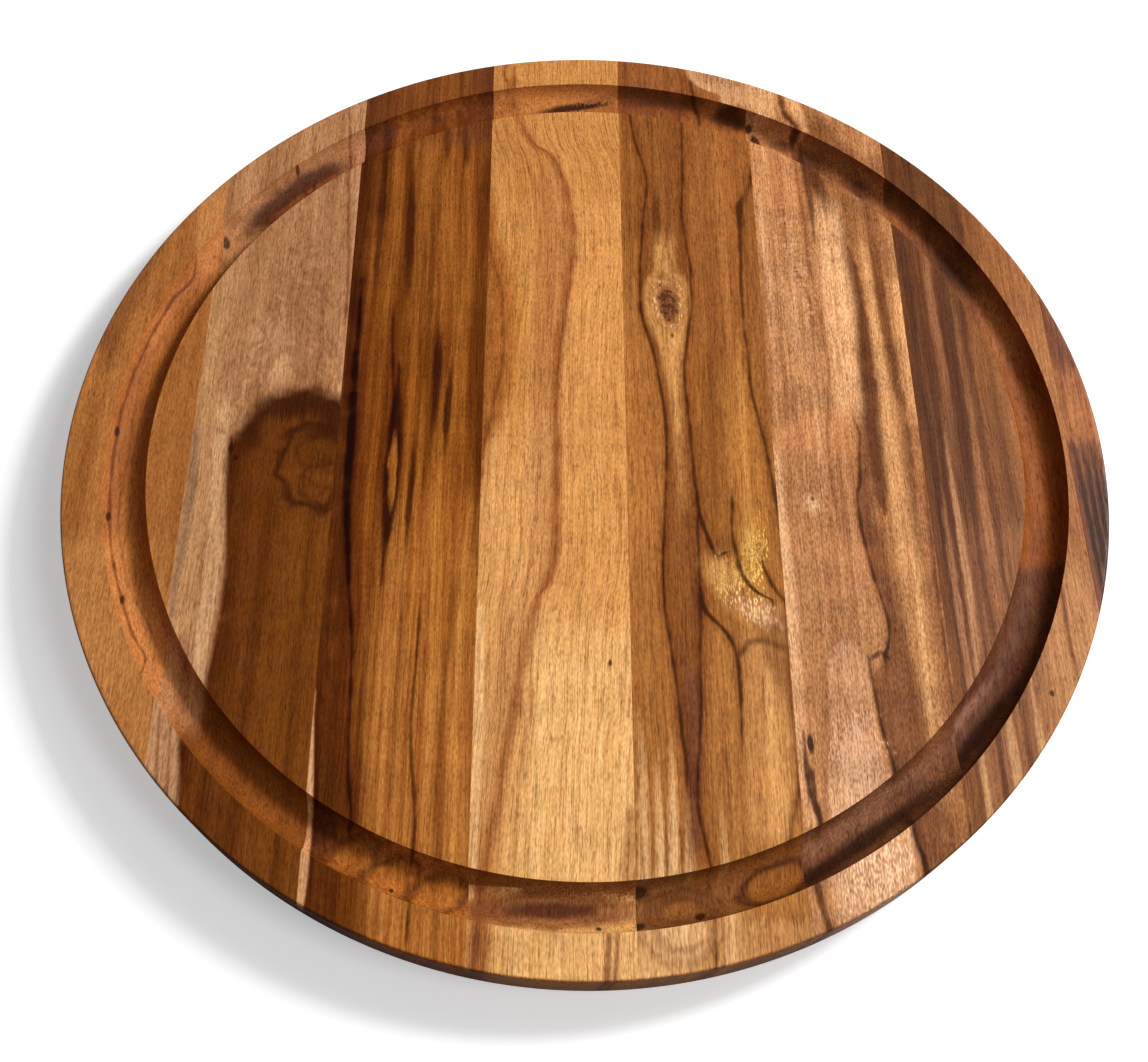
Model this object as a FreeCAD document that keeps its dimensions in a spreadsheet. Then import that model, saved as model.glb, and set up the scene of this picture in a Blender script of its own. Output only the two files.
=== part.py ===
import FreeCAD, Part
import Sketcher
import os

# Round cutting board. Eight hardwood staves are glued edge to edge into one panel. The panel is
# cut to a circle, a round-bottomed juice groove is run in its top face near the rim, and the
# rim's corners are broken. Millimetres, +Z up, origin in the middle of the underside, staves
# along Y.

doc = FreeCAD.newDocument("round_cutting_board")

# Driving dimensions: name, value, meaning
driving_dimensions = [
    ("board_diameter", 356.0, "across the finished circle"),
    ("board_thickness", 19.0, "underside to top face"),
    ("top_corner_bevel", 0.8, "taken off the rim's top corner, along each face"),
    ("foot_corner_bevel", 1.6, "taken off the rim's bottom corner, along each face"),
    ("groove_inset", 21.0, "rim to the middle of the juice groove"),
    ("groove_cutter_diameter", 15.0, "round-nosed cutter that runs the groove"),
    ("groove_depth", 6.0, "top face to the groove's lowest point"),
    ("stave_1_width", 42.6, "rim to joint: what the circle leaves of the first stave"),
    ("stave_2_width", 49.8, "joint to joint"),
    ("stave_3_width", 49.7, "joint to joint"),
    ("middle_joint_offset", 13.6, "board's middle to the joint of staves 4 and 5"),
    ("stave_6_width", 51.1, "joint to joint"),
    ("stave_7_width", 50.6, "joint to joint"),
    ("stave_8_width", 12.2, "joint to rim: what the circle leaves of the last stave"),
    ("trim_allowance", 5.0, "how far the rough staves stand out past the circle"),
    ("planing_allowance", 1.5, "how far the rough staves stand proud of each finished face"),
]
sizes = doc.addObject("Spreadsheet::Sheet", "Sizes")
for row, (alias, value, meaning) in enumerate(driving_dimensions, start=1):
    sizes.set(f"A{row}", alias)
    sizes.set(f"B{row}", str(value))
    sizes.set(f"C{row}", meaning)
    sizes.setAlias(f"B{row}", alias)
doc.recompute()

UP = FreeCAD.Vector(0, 0, 1)

# How a sketch numbers its points: a circle's centre, and the sketch's own origin
CIRCLE_CENTRE = 3
SKETCH_ORIGIN = (-1, 1)


def origin_part(body, role):
    """The plane or axis of the body's own origin that has this role."""
    return next(part for part in body.Origin.OriginFeatures if part.Role == role)


def widest_circle(shape, height):
    """The name of the shape's widest circular edge at this height: the rim."""
    tolerance = 0.001
    found = []
    for number, edge in enumerate(shape.Edges, start=1):
        if not isinstance(edge.Curve, Part.Circle):
            continue
        if abs(edge.Curve.Center.z - height) < tolerance:
            found.append((edge.Curve.Radius, f"Edge{number}"))
    return max(found)[1]


def sketch_on(body, name, plane):
    """A new sketch of the body, lying on one of its origin planes."""
    sketch = body.newObject("Sketcher::SketchObject", name)
    sketch.AttachmentSupport = (origin_part(body, plane), [""])
    sketch.MapMode = "FlatFace"
    return sketch


# The round panel, before it is told apart into its staves: a disc cut from the glued panel
panel = doc.addObject("PartDesign::Body", "round_panel")
panel.Label = "round_panel"

circle_sketch = sketch_on(panel, "rim_circle", "XY_Plane")
rim = circle_sketch.addGeometry(Part.Circle(FreeCAD.Vector(), UP, sizes.board_diameter / 2))
circle_sketch.addConstraint(Sketcher.Constraint("Diameter", rim, sizes.board_diameter))
circle_sketch.addConstraint(Sketcher.Constraint("Coincident", rim, CIRCLE_CENTRE, *SKETCH_ORIGIN))
circle_sketch.renameConstraint(0, "rim_diameter")
circle_sketch.setExpression("Constraints.rim_diameter", "Sizes.board_diameter")

disc = panel.newObject("PartDesign::Pad", "disc")
disc.Profile = circle_sketch
disc.setExpression("Length", "Sizes.board_thickness")
doc.recompute()

# The juice groove: the cutter's round nose, seen end on, and swept once round the board's axis
nose_sketch = sketch_on(panel, "cutter_nose", "XZ_Plane")
nose_reach = sizes.board_diameter / 2 - sizes.groove_inset
nose_height = sizes.board_thickness - sizes.groove_depth + sizes.groove_cutter_diameter / 2
nose_centre = FreeCAD.Vector(nose_reach, nose_height, 0)
nose = nose_sketch.addGeometry(Part.Circle(nose_centre, UP, sizes.groove_cutter_diameter / 2))
nose_sizes = [
    ("nose_diameter", ("Diameter", nose, sizes.groove_cutter_diameter), "Sizes.groove_cutter_diameter"),
    (
        "nose_reach",
        ("DistanceX", *SKETCH_ORIGIN, nose, CIRCLE_CENTRE, nose_reach),
        "Sizes.board_diameter / 2 - Sizes.groove_inset",
    ),
    (
        "nose_height",
        ("DistanceY", *SKETCH_ORIGIN, nose, CIRCLE_CENTRE, nose_height),
        "Sizes.board_thickness - Sizes.groove_depth + Sizes.groove_cutter_diameter / 2",
    ),
]
for number, (name, constraint, expression) in enumerate(nose_sizes):
    nose_sketch.addConstraint(Sketcher.Constraint(*constraint))
    nose_sketch.renameConstraint(number, name)
    nose_sketch.setExpression(f"Constraints.{name}", expression)

groove = panel.newObject("PartDesign::Groove", "juice_groove")
groove.Profile = nose_sketch
groove.ReferenceAxis = (origin_part(panel, "Z_Axis"), [""])
groove.Angle = 360.0
doc.recompute()


def bevel_rim(name, base, height, size_alias):
    """Take the corner off the rim at this height, as wide as the sheet says."""
    bevel = panel.newObject("PartDesign::Chamfer", name)
    bevel.Base = (base, [widest_circle(base.Shape, height)])
    bevel.setExpression("Size", f"Sizes.{size_alias}")
    doc.recompute()
    return bevel


# The broken corners of the rim, top and bottom. The groove's lips stay crisp.
top_corner = bevel_rim("top_corner", groove, sizes.board_thickness, "top_corner_bevel")
foot_corner = bevel_rim("foot_corner", top_corner, 0.0, "foot_corner_bevel")


def rough_stave(number, left_side, width):
    """A sawn stave of this width, longer and thicker than the board, to be cut down with the rest."""
    strip = doc.addObject("Part::Box", f"strip_{number}")
    strip.Label = f"rough_stave_{number}"
    strip.setExpression("Placement.Base.x", left_side)
    strip.setExpression("Length", width)
    strip.setExpression("Placement.Base.y", f"-{HALF_PANEL}")
    strip.setExpression("Width", f"2 * {HALF_PANEL}")
    strip.setExpression("Placement.Base.z", "-Sizes.planing_allowance")
    strip.setExpression("Height", "Sizes.board_thickness + 2 * Sizes.planing_allowance")
    return strip


# The rough staves. Three are laid in from each side of the rim, each against its neighbour, and
# the two in the middle are ripped to fill what is left on their own side of the middle joint.
HALF_PANEL = "(Sizes.board_diameter / 2 + Sizes.trim_allowance) * 1mm"
MIDDLE_JOINT = "Sizes.middle_joint_offset * 1mm"
strips = {
    1: rough_stave(1, f"-{HALF_PANEL}", "Sizes.stave_1_width + Sizes.trim_allowance"),
    8: rough_stave(8, f"{HALF_PANEL} - strip_8.Length", "Sizes.stave_8_width + Sizes.trim_allowance"),
}
for number in (2, 3):
    neighbour = f"strip_{number - 1}"
    joint = f"{neighbour}.Placement.Base.x + {neighbour}.Length"
    strips[number] = rough_stave(number, joint, f"Sizes.stave_{number}_width")
for number in (7, 6):
    joint = f"strip_{number + 1}.Placement.Base.x"
    strips[number] = rough_stave(number, f"{joint} - strip_{number}.Length", f"Sizes.stave_{number}_width")
left_joint = "strip_3.Placement.Base.x + strip_3.Length"
right_joint = "strip_6.Placement.Base.x"
strips[4] = rough_stave(4, left_joint, f"{MIDDLE_JOINT} - ({left_joint})")
strips[5] = rough_stave(5, MIDDLE_JOINT, f"{right_joint} - {MIDDLE_JOINT}")

# The finished staves: what the round panel keeps of each rough one
staves = []
for number in sorted(strips):
    stave = doc.addObject("Part::Common", f"stave_{number}")
    stave.Label = f"stave_{number}"
    stave.Base = panel
    stave.Tool = strips[number]
    staves.append(stave)
doc.recompute()

# Nothing is written unless the whole document is sound
for item in doc.Objects:
    if "Invalid" in item.State or "Error" in item.State:
        raise RuntimeError(f"{item.Label} did not recompute: {item.State}")
for stave in staves:
    if stave.Shape.isNull() or not stave.Shape.isValid() or len(stave.Shape.Solids) != 1:
        raise RuntimeError(f"{stave.Label} is not one sound solid")

os.makedirs("parts", exist_ok=True)
for stave in staves:
    stave.Shape.exportStep(os.path.join("parts", f"{stave.Label}.step"))
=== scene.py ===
import math
import bmesh
import bpy
from mathutils import Matrix, Vector


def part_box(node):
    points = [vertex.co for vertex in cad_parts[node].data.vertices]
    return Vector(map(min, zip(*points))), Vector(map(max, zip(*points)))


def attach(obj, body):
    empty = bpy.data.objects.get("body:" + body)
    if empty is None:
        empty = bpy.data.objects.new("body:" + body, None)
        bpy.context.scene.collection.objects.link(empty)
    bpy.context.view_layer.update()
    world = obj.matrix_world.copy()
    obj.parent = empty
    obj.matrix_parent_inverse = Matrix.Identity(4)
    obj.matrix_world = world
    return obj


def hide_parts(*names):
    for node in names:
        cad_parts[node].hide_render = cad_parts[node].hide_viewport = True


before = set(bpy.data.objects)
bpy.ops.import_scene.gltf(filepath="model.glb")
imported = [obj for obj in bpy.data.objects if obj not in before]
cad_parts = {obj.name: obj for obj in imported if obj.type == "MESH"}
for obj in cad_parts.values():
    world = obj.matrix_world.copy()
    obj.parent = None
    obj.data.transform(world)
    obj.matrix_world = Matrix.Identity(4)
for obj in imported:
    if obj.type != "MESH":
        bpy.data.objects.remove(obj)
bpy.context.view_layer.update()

# The glued panel. Eight hardwood staves lie edge to edge, planed to 19 mm and cut round. A
# round-nosed cutter has run the juice groove near the rim, and the rim's corners are eased.
# Its section is drawn once, spun round the board's axis, and told apart into staves below.
MM = 0.001
RIM = 178.0 * MM
TOP = 19.0 * MM
GROOVE_CENTRE = 157.0 * MM
CUTTER_NOSE = 7.5 * MM
GROOVE_DEPTH = 6.0 * MM
TOP_EASE = 1.0 * MM
FOOT_EASE = 1.8 * MM
EVEN_SHADING = 0.6 * MM
HAIR = 1e-7


def pick_points(piece, wanted):
    """Select the points that pass the test, and nothing else, in edit mode."""
    mesh = bmesh.from_edit_mesh(piece.data)
    for point in mesh.verts:
        point.select = wanted(point.co)
    mesh.select_flush_mode()
    bmesh.update_edit_mesh(piece.data)
    return [point.co.copy() for point in mesh.verts if point.select]


def carry_outline_on(piece, start_x, stops):
    """Run the section on from its point at the top face nearest start_x, stop by stop."""
    here = pick_points(piece, lambda co: abs(co.x - start_x) < 0.05 * MM and abs(co.z - TOP) < HAIR)[0]
    for x, z in stops:
        there = Vector((x, 0, z))
        bpy.ops.mesh.extrude_region_move(TRANSFORM_OT_translate={"value": there - here})
        here = there


bpy.ops.object.select_all(action="DESELECT")
bpy.ops.mesh.primitive_circle_add(
    vertices=96,
    radius=CUTTER_NOSE,
    location=(GROOVE_CENTRE, 0, TOP - GROOVE_DEPTH + CUTTER_NOSE),
    rotation=(math.radians(90), 0, 0),
)
panel = bpy.context.object
panel.name = panel.data.name = "glued_panel"
bpy.ops.object.transform_apply(location=True, rotation=True, scale=True)
bpy.ops.object.mode_set(mode="EDIT")
bpy.ops.mesh.select_mode(type="VERT")
bpy.ops.mesh.select_all(action="SELECT")
bpy.ops.mesh.bisect(plane_co=(0, 0, TOP), plane_no=(0, 0, 1), clear_outer=True, threshold=HAIR)
groove_reach = math.sqrt(CUTTER_NOSE**2 - (CUTTER_NOSE - GROOVE_DEPTH) ** 2)
inner_lip, outer_lip = GROOVE_CENTRE - groove_reach, GROOVE_CENTRE + groove_reach
carry_outline_on(panel, inner_lip, [(inner_lip - EVEN_SHADING, TOP), (0, TOP)])
carry_outline_on(
    panel,
    outer_lip,
    [
        (RIM - TOP_EASE - EVEN_SHADING, TOP),
        (RIM, TOP),
        (RIM, TOP - TOP_EASE - EVEN_SHADING),
        (RIM, FOOT_EASE + EVEN_SHADING),
        (RIM, 0),
        (RIM - FOOT_EASE - EVEN_SHADING, 0),
        (0, 0),
    ],
)
for height, ease in ((TOP, TOP_EASE), (0, FOOT_EASE)):
    pick_points(panel, lambda co: abs(co.x - RIM) < 10 * HAIR and abs(co.z - height) < 10 * HAIR)
    bpy.ops.mesh.bevel(offset=ease, segments=6, affect="VERTICES")
bpy.ops.mesh.select_all(action="SELECT")
bpy.ops.mesh.spin(steps=288, angle=math.tau, center=(0, 0, 0), axis=(0, 0, 1))
bpy.ops.mesh.select_all(action="SELECT")
bpy.ops.mesh.remove_doubles(threshold=0.003 * MM)
bpy.ops.mesh.normals_make_consistent(inside=False)
bpy.ops.object.mode_set(mode="OBJECT")


def cut_stave(number):
    """The stave between its two joints, out of a copy of the panel. The rim bounds the outer ones."""
    low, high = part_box(f"stave_{number}")
    bpy.ops.object.select_all(action="DESELECT")
    panel.select_set(True)
    bpy.context.view_layer.objects.active = panel
    bpy.ops.object.duplicate()
    stave = bpy.context.object
    stave.name = stave.data.name = f"finished_stave_{number}"
    bpy.ops.object.mode_set(mode="EDIT")
    for joint, keeps_right in ((low[0], True), (high[0], False)):
        if abs(joint) > RIM - 0.1 * MM:
            continue
        bpy.ops.mesh.select_all(action="SELECT")
        bpy.ops.mesh.bisect(
            plane_co=(joint, 0, 0),
            plane_no=(1, 0, 0),
            use_fill=True,
            clear_inner=keeps_right,
            clear_outer=not keeps_right,
            threshold=HAIR,
        )
    bpy.ops.object.mode_set(mode="OBJECT")
    bpy.ops.object.shade_smooth_by_angle(angle=math.radians(30))
    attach(stave, "root")
    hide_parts(f"stave_{number}")
    return stave


# Stave 1, at the left rim: plain orange-brown wood with a fine straight grain, a dark lens on
# the rim, and a thin looped growth line that the cutter has opened along the groove. The ways
# of growing and marking wood that all the staves share are made here.
def feed(tree, socket, value):
    """Link a socket to a value that varies, or write a value that doesn't."""
    if isinstance(value, bpy.types.NodeSocket):
        tree.links.new(value, socket)
    else:
        socket.default_value = value


def calc(tree, operation, *values, clamp=False):
    """One sum on numbers, as a node. Returns its result."""
    node = tree.nodes.new("ShaderNodeMath")
    node.operation = operation
    node.use_clamp = clamp
    for socket, value in zip(node.inputs, values):
        feed(tree, socket, value)
    return node.outputs[0]


def ease_between(tree, value, low, high, most=1.0):
    """Nought at low, the most at high, and a smooth step between."""
    node = tree.nodes.new("ShaderNodeMapRange")
    node.interpolation_type = "SMOOTHSTEP"
    for socket, number in zip(node.inputs, (value, low, high, 0.0, most)):
        feed(tree, socket, number)
    return node.outputs[0]


def point_of(tree, x, y, z):
    """Three numbers as one point."""
    node = tree.nodes.new("ShaderNodeCombineXYZ")
    for socket, value in zip(node.inputs, (x, y, z)):
        feed(tree, socket, value)
    return node.outputs[0]


def cloud(tree, point, detail=2.0, roughness=0.5):
    """Solid noise between nought and one, with blobs about one unit of the point across."""
    node = tree.nodes.new("ShaderNodeTexNoise")
    node.noise_dimensions = "3D"
    node.inputs["Scale"].default_value = 1.0
    node.inputs["Detail"].default_value = detail
    node.inputs["Roughness"].default_value = roughness
    tree.links.new(point, node.inputs["Vector"])
    return node.outputs[0]


def blend_colours(tree, share, first, second, way="MIX"):
    """The second colour over the first, as far as share says."""
    node = tree.nodes.new("ShaderNodeMix")
    node.data_type = "RGBA"
    node.blend_type = way
    for socket, value in zip((node.inputs[0], node.inputs[6], node.inputs[7]), (share, first, second)):
        feed(tree, socket, value)
    return node.outputs[2]


def new_effect(name, inputs, outputs):
    """An empty shader group. Returns it with its input sockets by name and its output node."""
    group = bpy.data.node_groups.new(name, "ShaderNodeTree")
    for label, default in inputs.items():
        kind = {float: "NodeSocketFloat", tuple: "NodeSocketVector", list: "NodeSocketColor"}[type(default)]
        socket = group.interface.new_socket(label, in_out="INPUT", socket_type=kind)
        socket.default_value = default
    for label, kind in outputs.items():
        group.interface.new_socket(label, in_out="OUTPUT", socket_type=f"NodeSocket{kind}")
    entry = group.nodes.new("NodeGroupInput")
    leave = group.nodes.new("NodeGroupOutput")
    return group, entry.outputs, leave.inputs


def place_effect(tree, name, **values):
    """Put an effect in a material with its own values. Underscores stand for spaces in names."""
    node = tree.nodes.new("ShaderNodeGroup")
    node.node_tree = bpy.data.node_groups[name]
    for label, value in values.items():
        feed(tree, node.inputs[label.replace("_", " ")], value)
    return node.outputs


# How the wood of any stave grew: where its grain lies, and each size of its figure
tree, given, result = new_effect(
    "grown_wood",
    {
        "Position": (0.0, 0.0, 0.0),
        "Seed": 0.0,
        "Lean": 0.1,
        "Drift": 0.0,
        "Knot X": 0.0,
        "Knot Y": 0.0,
        "Knot Width": 20.0,
        "Knot Length": 30.0,
        "Knot Push": 0.0,
        "Wander": 3.0,
        "Feather": 7.0,
    },
    {
        "Across": "Float",
        "Along": "Float",
        "Waver": "Float",
        "Streaks": "Float",
        "Growth": "Float",
        "Fibre": "Float",
        "Vessels": "Float",
        "Pores": "Float",
        "Shimmer": "Float",
        "Swirl": "Float",
        "Fleck": "Float",
        "Ripple": "Float",
        "Groove": "Float",
        "End Grain Shade": "Float",
    },
)
split = tree.nodes.new("ShaderNodeSeparateXYZ")
tree.links.new(given["Position"], split.inputs[0])
x, y, z = split.outputs
depth = calc(tree, "SUBTRACT", TOP / MM, z)
across = calc(tree, "MULTIPLY_ADD", given["Lean"], depth, x)
grain = calc(tree, "SUBTRACT", across, given["Drift"])
beside = calc(tree, "DIVIDE", calc(tree, "SUBTRACT", x, given["Knot X"]), given["Knot Width"])
past = calc(tree, "DIVIDE", calc(tree, "SUBTRACT", y, given["Knot Y"]), given["Knot Length"])
reach = calc(tree, "MULTIPLY_ADD", past, past, calc(tree, "MULTIPLY", beside, beside))
bow = calc(tree, "EXPONENT", calc(tree, "MULTIPLY", reach, -1.0))
push = calc(tree, "MULTIPLY", given["Knot Push"], bow)
grain = calc(tree, "SUBTRACT", grain, calc(tree, "MULTIPLY", push, beside))
SEED_STEP = 17.3
KNOT_SEED_STEP = 31.7
SWIRL_SIZE = 7.0
offset = calc(tree, "MULTIPLY", given["Seed"], SEED_STEP)


def figure(wide, long, detail=0.0, roughness=0.5):
    """The wood's figure whose marks are this wide and this long, along the grain as it lies here."""
    across_it = calc(tree, "DIVIDE", grain, wide)
    along_it = calc(tree, "DIVIDE", y, long)
    down_it = calc(tree, "ADD", calc(tree, "DIVIDE", z, wide), offset)
    return cloud(tree, point_of(tree, across_it, along_it, down_it), detail, roughness)


slow_waver = figure(9.0, 42.0)
slower = figure(15.0, 75.0)
grain = calc(tree, "MULTIPLY_ADD", calc(tree, "SUBTRACT", slower, 0.5), given["Wander"], grain)
vessel_field = figure(0.42, 22.0, 1.0)
feather = calc(tree, "MULTIPLY", calc(tree, "SUBTRACT", vessel_field, 0.5), given["Feather"])
quick_waver = figure(2.2, 7.0, 1.0)
waver = calc(tree, "MULTIPLY_ADD", quick_waver, 0.6, calc(tree, "SUBTRACT", slow_waver, 0.8))
pore_field = figure(0.5, 4.0)
seeded = point_of(tree, x, y, calc(tree, "MULTIPLY_ADD", given["Seed"], KNOT_SEED_STEP, z))
shrink = tree.nodes.new("ShaderNodeVectorMath")
shrink.operation = "SCALE"
shrink.inputs["Scale"].default_value = 1 / SWIRL_SIZE
tree.links.new(seeded, shrink.inputs[0])
radius = calc(tree, "SQRT", calc(tree, "MULTIPLY_ADD", x, x, calc(tree, "MULTIPLY", y, y)))
off_middle = calc(tree, "ABSOLUTE", calc(tree, "SUBTRACT", radius, GROOVE_CENTRE / MM))
in_ring = calc(tree, "LESS_THAN", off_middle, CUTTER_NOSE / MM + 0.1)
above_foot = calc(tree, "LESS_THAN", depth, GROOVE_DEPTH / MM + 1.0)
below_face = ease_between(tree, depth, 0.03, 0.3)
sunk = calc(tree, "MULTIPLY", below_face, calc(tree, "MULTIPLY", in_ring, above_foot))
# Painted shade on the rim wall, strongest towards the staves' ends, where end grain also takes more oil
far_along = calc(tree, "MULTIPLY", calc(tree, "ABSOLUTE", y), MM / RIM)
on_wall = ease_between(tree, radius, RIM / MM - 1.0, RIM / MM - 0.1)
for label, value in {
    "Across": across,
    "Along": calc(tree, "ADD", y, feather),
    "Waver": waver,
    "Streaks": ease_between(tree, figure(7.0, 150.0, 1.0), 0.3, 0.7),
    "Growth": ease_between(tree, figure(1.9, 75.0, 2.0, 0.6), 0.3, 0.72),
    "Fibre": figure(0.42, 9.0, 2.0, 0.6),
    "Vessels": ease_between(tree, vessel_field, 0.52, 0.7),
    "Pores": ease_between(tree, pore_field, 0.62, 0.74),
    "Shimmer": figure(26.0, 9.0),
    "Swirl": cloud(tree, shrink.outputs[0], 1.0),
    "Fleck": figure(0.5, 1.5),
    "Ripple": figure(3.4, 1.4),
    "Groove": sunk,
    "End Grain Shade": calc(tree, "MULTIPLY", on_wall, calc(tree, "POWER", far_along, 2.0)),
}.items():
    tree.links.new(value, result[label])

# A growth line, streak or zone: a band about a middle line, with edges as soft and ragged as set.
# Its lengths are shares of the board's span, and its half width stands on a foot, because a
# curve holds nothing below nought.
CURVE_FOOT = 1 / 60
tree, given, result = new_effect(
    "growth_mark",
    {
        "Across": 0.0,
        "Middle": 0.0,
        "Half Width": 1.0,
        "Edge": 0.5,
        "Ragged": 0.6,
        "Waver": 0.0,
        "Presence": 1.0,
        "Growth": 0.5,
        "Strength": 1.0,
        "Halo Width": 3.0,
        "Swirl": 0.5,
        "Uneven": 0.0,
        "Lick": 0.7,
    },
    {"Mask": "Float", "Halo": "Float"},
)
wandered = calc(tree, "MULTIPLY_ADD", given["Ragged"], given["Waver"], given["Across"])
away = calc(tree, "ABSOLUTE", calc(tree, "SUBTRACT", wandered, given["Middle"]))
swell = calc(tree, "SUBTRACT", given["Swirl"], 0.5)
half = calc(tree, "MULTIPLY_ADD", swell, given["Uneven"], given["Half Width"])
inside = calc(tree, "SUBTRACT", half, away)
soft_from = calc(tree, "SUBTRACT", CURVE_FOOT, given["Edge"])
soft_to = calc(tree, "ADD", CURVE_FOOT, given["Edge"])
mask = ease_between(tree, inside, soft_from, soft_to)
grown_by = calc(tree, "SUBTRACT", given["Growth"], 0.5)
licked = calc(tree, "MULTIPLY_ADD", grown_by, given["Lick"], given["Presence"])
softness = calc(tree, "MULTIPLY_ADD", given["Lick"], -0.45, 0.5)
licked = ease_between(tree, licked, calc(tree, "SUBTRACT", 0.5, softness), calc(tree, "ADD", 0.5, softness))
there = calc(tree, "MULTIPLY", given["Strength"], licked)
fainter = calc(tree, "MULTIPLY_ADD", swell, 0.9, 1.0, clamp=True)
there = calc(tree, "MULTIPLY", there, fainter)
stain_from = calc(tree, "SUBTRACT", CURVE_FOOT, given["Halo Width"])
halo = ease_between(tree, inside, stain_from, soft_to)
tree.links.new(calc(tree, "MULTIPLY", mask, there), result["Mask"])
tree.links.new(calc(tree, "MULTIPLY", halo, there), result["Halo"])

# A knot, pit or blot: how far out from its middle a point is, in radii, on a turned oval
tree, given, result = new_effect(
    "knot_oval",
    {
        "Across": 0.0,
        "Along": 0.0,
        "Centre X": 0.0,
        "Centre Y": 0.0,
        "Radius X": 5.0,
        "Radius Y": 8.0,
        "Turn": 0.0,
        "Ragged": 0.1,
        "Swirl": 0.5,
    },
    {"Distance": "Float"},
)
dx = calc(tree, "SUBTRACT", given["Across"], given["Centre X"])
dy = calc(tree, "SUBTRACT", given["Along"], given["Centre Y"])
cosine = calc(tree, "COSINE", given["Turn"])
sine = calc(tree, "SINE", given["Turn"])
turned_x = calc(tree, "MULTIPLY_ADD", dx, cosine, calc(tree, "MULTIPLY", dy, sine))
turned_y = calc(tree, "MULTIPLY", dy, cosine)
turned_y = calc(tree, "SUBTRACT", turned_y, calc(tree, "MULTIPLY", dx, sine))
flat_x = calc(tree, "DIVIDE", turned_x, given["Radius X"])
flat_y = calc(tree, "DIVIDE", turned_y, given["Radius Y"])
out = calc(tree, "MULTIPLY_ADD", flat_x, flat_x, calc(tree, "MULTIPLY", flat_y, flat_y))
out = calc(tree, "SQRT", out)
bent = calc(tree, "MULTIPLY_ADD", given["Swirl"], 2.0, -1.0)
tree.links.new(calc(tree, "MULTIPLY_ADD", given["Ragged"], bent, out), result["Distance"])

# The fine grain over a stave's figure: growth lines and fibres tint it, and pores darken it
tree, given, result = new_effect(
    "fine_grain",
    {
        "Colour": [0.5, 0.3, 0.15, 1.0],
        "Line Tint": [0.8, 0.68, 0.56, 1.0],
        "Growth": 0.5,
        "Fibre": 0.5,
        "Vessels": 0.0,
        "Pores": 0.0,
        "Shimmer": 0.5,
        "Fleck": 0.5,
        "Growth Amount": 0.4,
        "Vessel Amount": 0.4,
        "Fibre Amount": 0.3,
        "Pore Amount": 0.4,
        "Shimmer Amount": 0.15,
        "Fleck Amount": 0.5,
        "Gain": 1.2,
    },
    {"Colour": "Color"},
)


def stained(colour, field, stain):
    """The colour with a stain over it, as far as one of the wood's own fields says."""
    share = calc(tree, "MULTIPLY", given[field[0]], given[field[1]])
    return blend_colours(tree, share, colour, stain, "MULTIPLY")


VESSEL_STAIN = [0.45, 0.33, 0.24, 1.0]
PORE_STAIN = [0.42, 0.3, 0.22, 1.0]
lined = stained(given["Colour"], ("Growth", "Growth Amount"), given["Line Tint"])
lined = stained(lined, ("Vessels", "Vessel Amount"), VESSEL_STAIN)
level = given["Gain"]
for field in ("Shimmer", "Fibre", "Fleck"):
    swing = calc(tree, "SUBTRACT", given[field], 0.5)
    level = calc(tree, "MULTIPLY_ADD", swing, given[f"{field} Amount"], level)
lit = tree.nodes.new("ShaderNodeVectorMath")
lit.operation = "SCALE"
tree.links.new(lined, lit.inputs[0])
tree.links.new(level, lit.inputs["Scale"])
tree.links.new(stained(lit.outputs[0], ("Pores", "Pore Amount"), PORE_STAIN), result["Colour"])

# The oiled surface: satin over the fibres, duller in the pores, and fuller in the routed groove
tree, given, result = new_effect(
    "oiled_surface",
    {"Fibre": 0.5, "Pores": 0.0, "Groove": 0.0, "Satin": 0.42},
    {"Roughness": "Float", "Height": "Float"},
)
dull = calc(tree, "SUBTRACT", given["Satin"], 0.08)
dull = calc(tree, "MULTIPLY_ADD", given["Fibre"], 0.16, dull)
dull = calc(tree, "MULTIPLY_ADD", given["Pores"], 0.2, dull)
dull = calc(tree, "MULTIPLY_ADD", given["Groove"], 0.25, dull)
tree.links.new(dull, result["Roughness"])
raised = calc(tree, "MULTIPLY", given["Fibre"], 0.5)
pitted = calc(tree, "MULTIPLY", given["Pores"], 0.8)
tree.links.new(calc(tree, "SUBTRACT", raised, pitted), result["Height"])


OIL_SHEEN = 0.005


def tone(red, green, blue):
    """A wood tone as it looks under its oil, 0 to 255, for a socket. The oil's sheen is taken off."""
    linear = [((value / 255 + 0.055) / 1.055) ** 2.4 for value in (red, green, blue)]
    return [*(max(value - OIL_SHEEN, 0.0005) for value in linear), 1.0]


BOARD_SPAN = 360.0


class Wood:
    """A stave's material while it is being laid down, mark by mark."""


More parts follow.
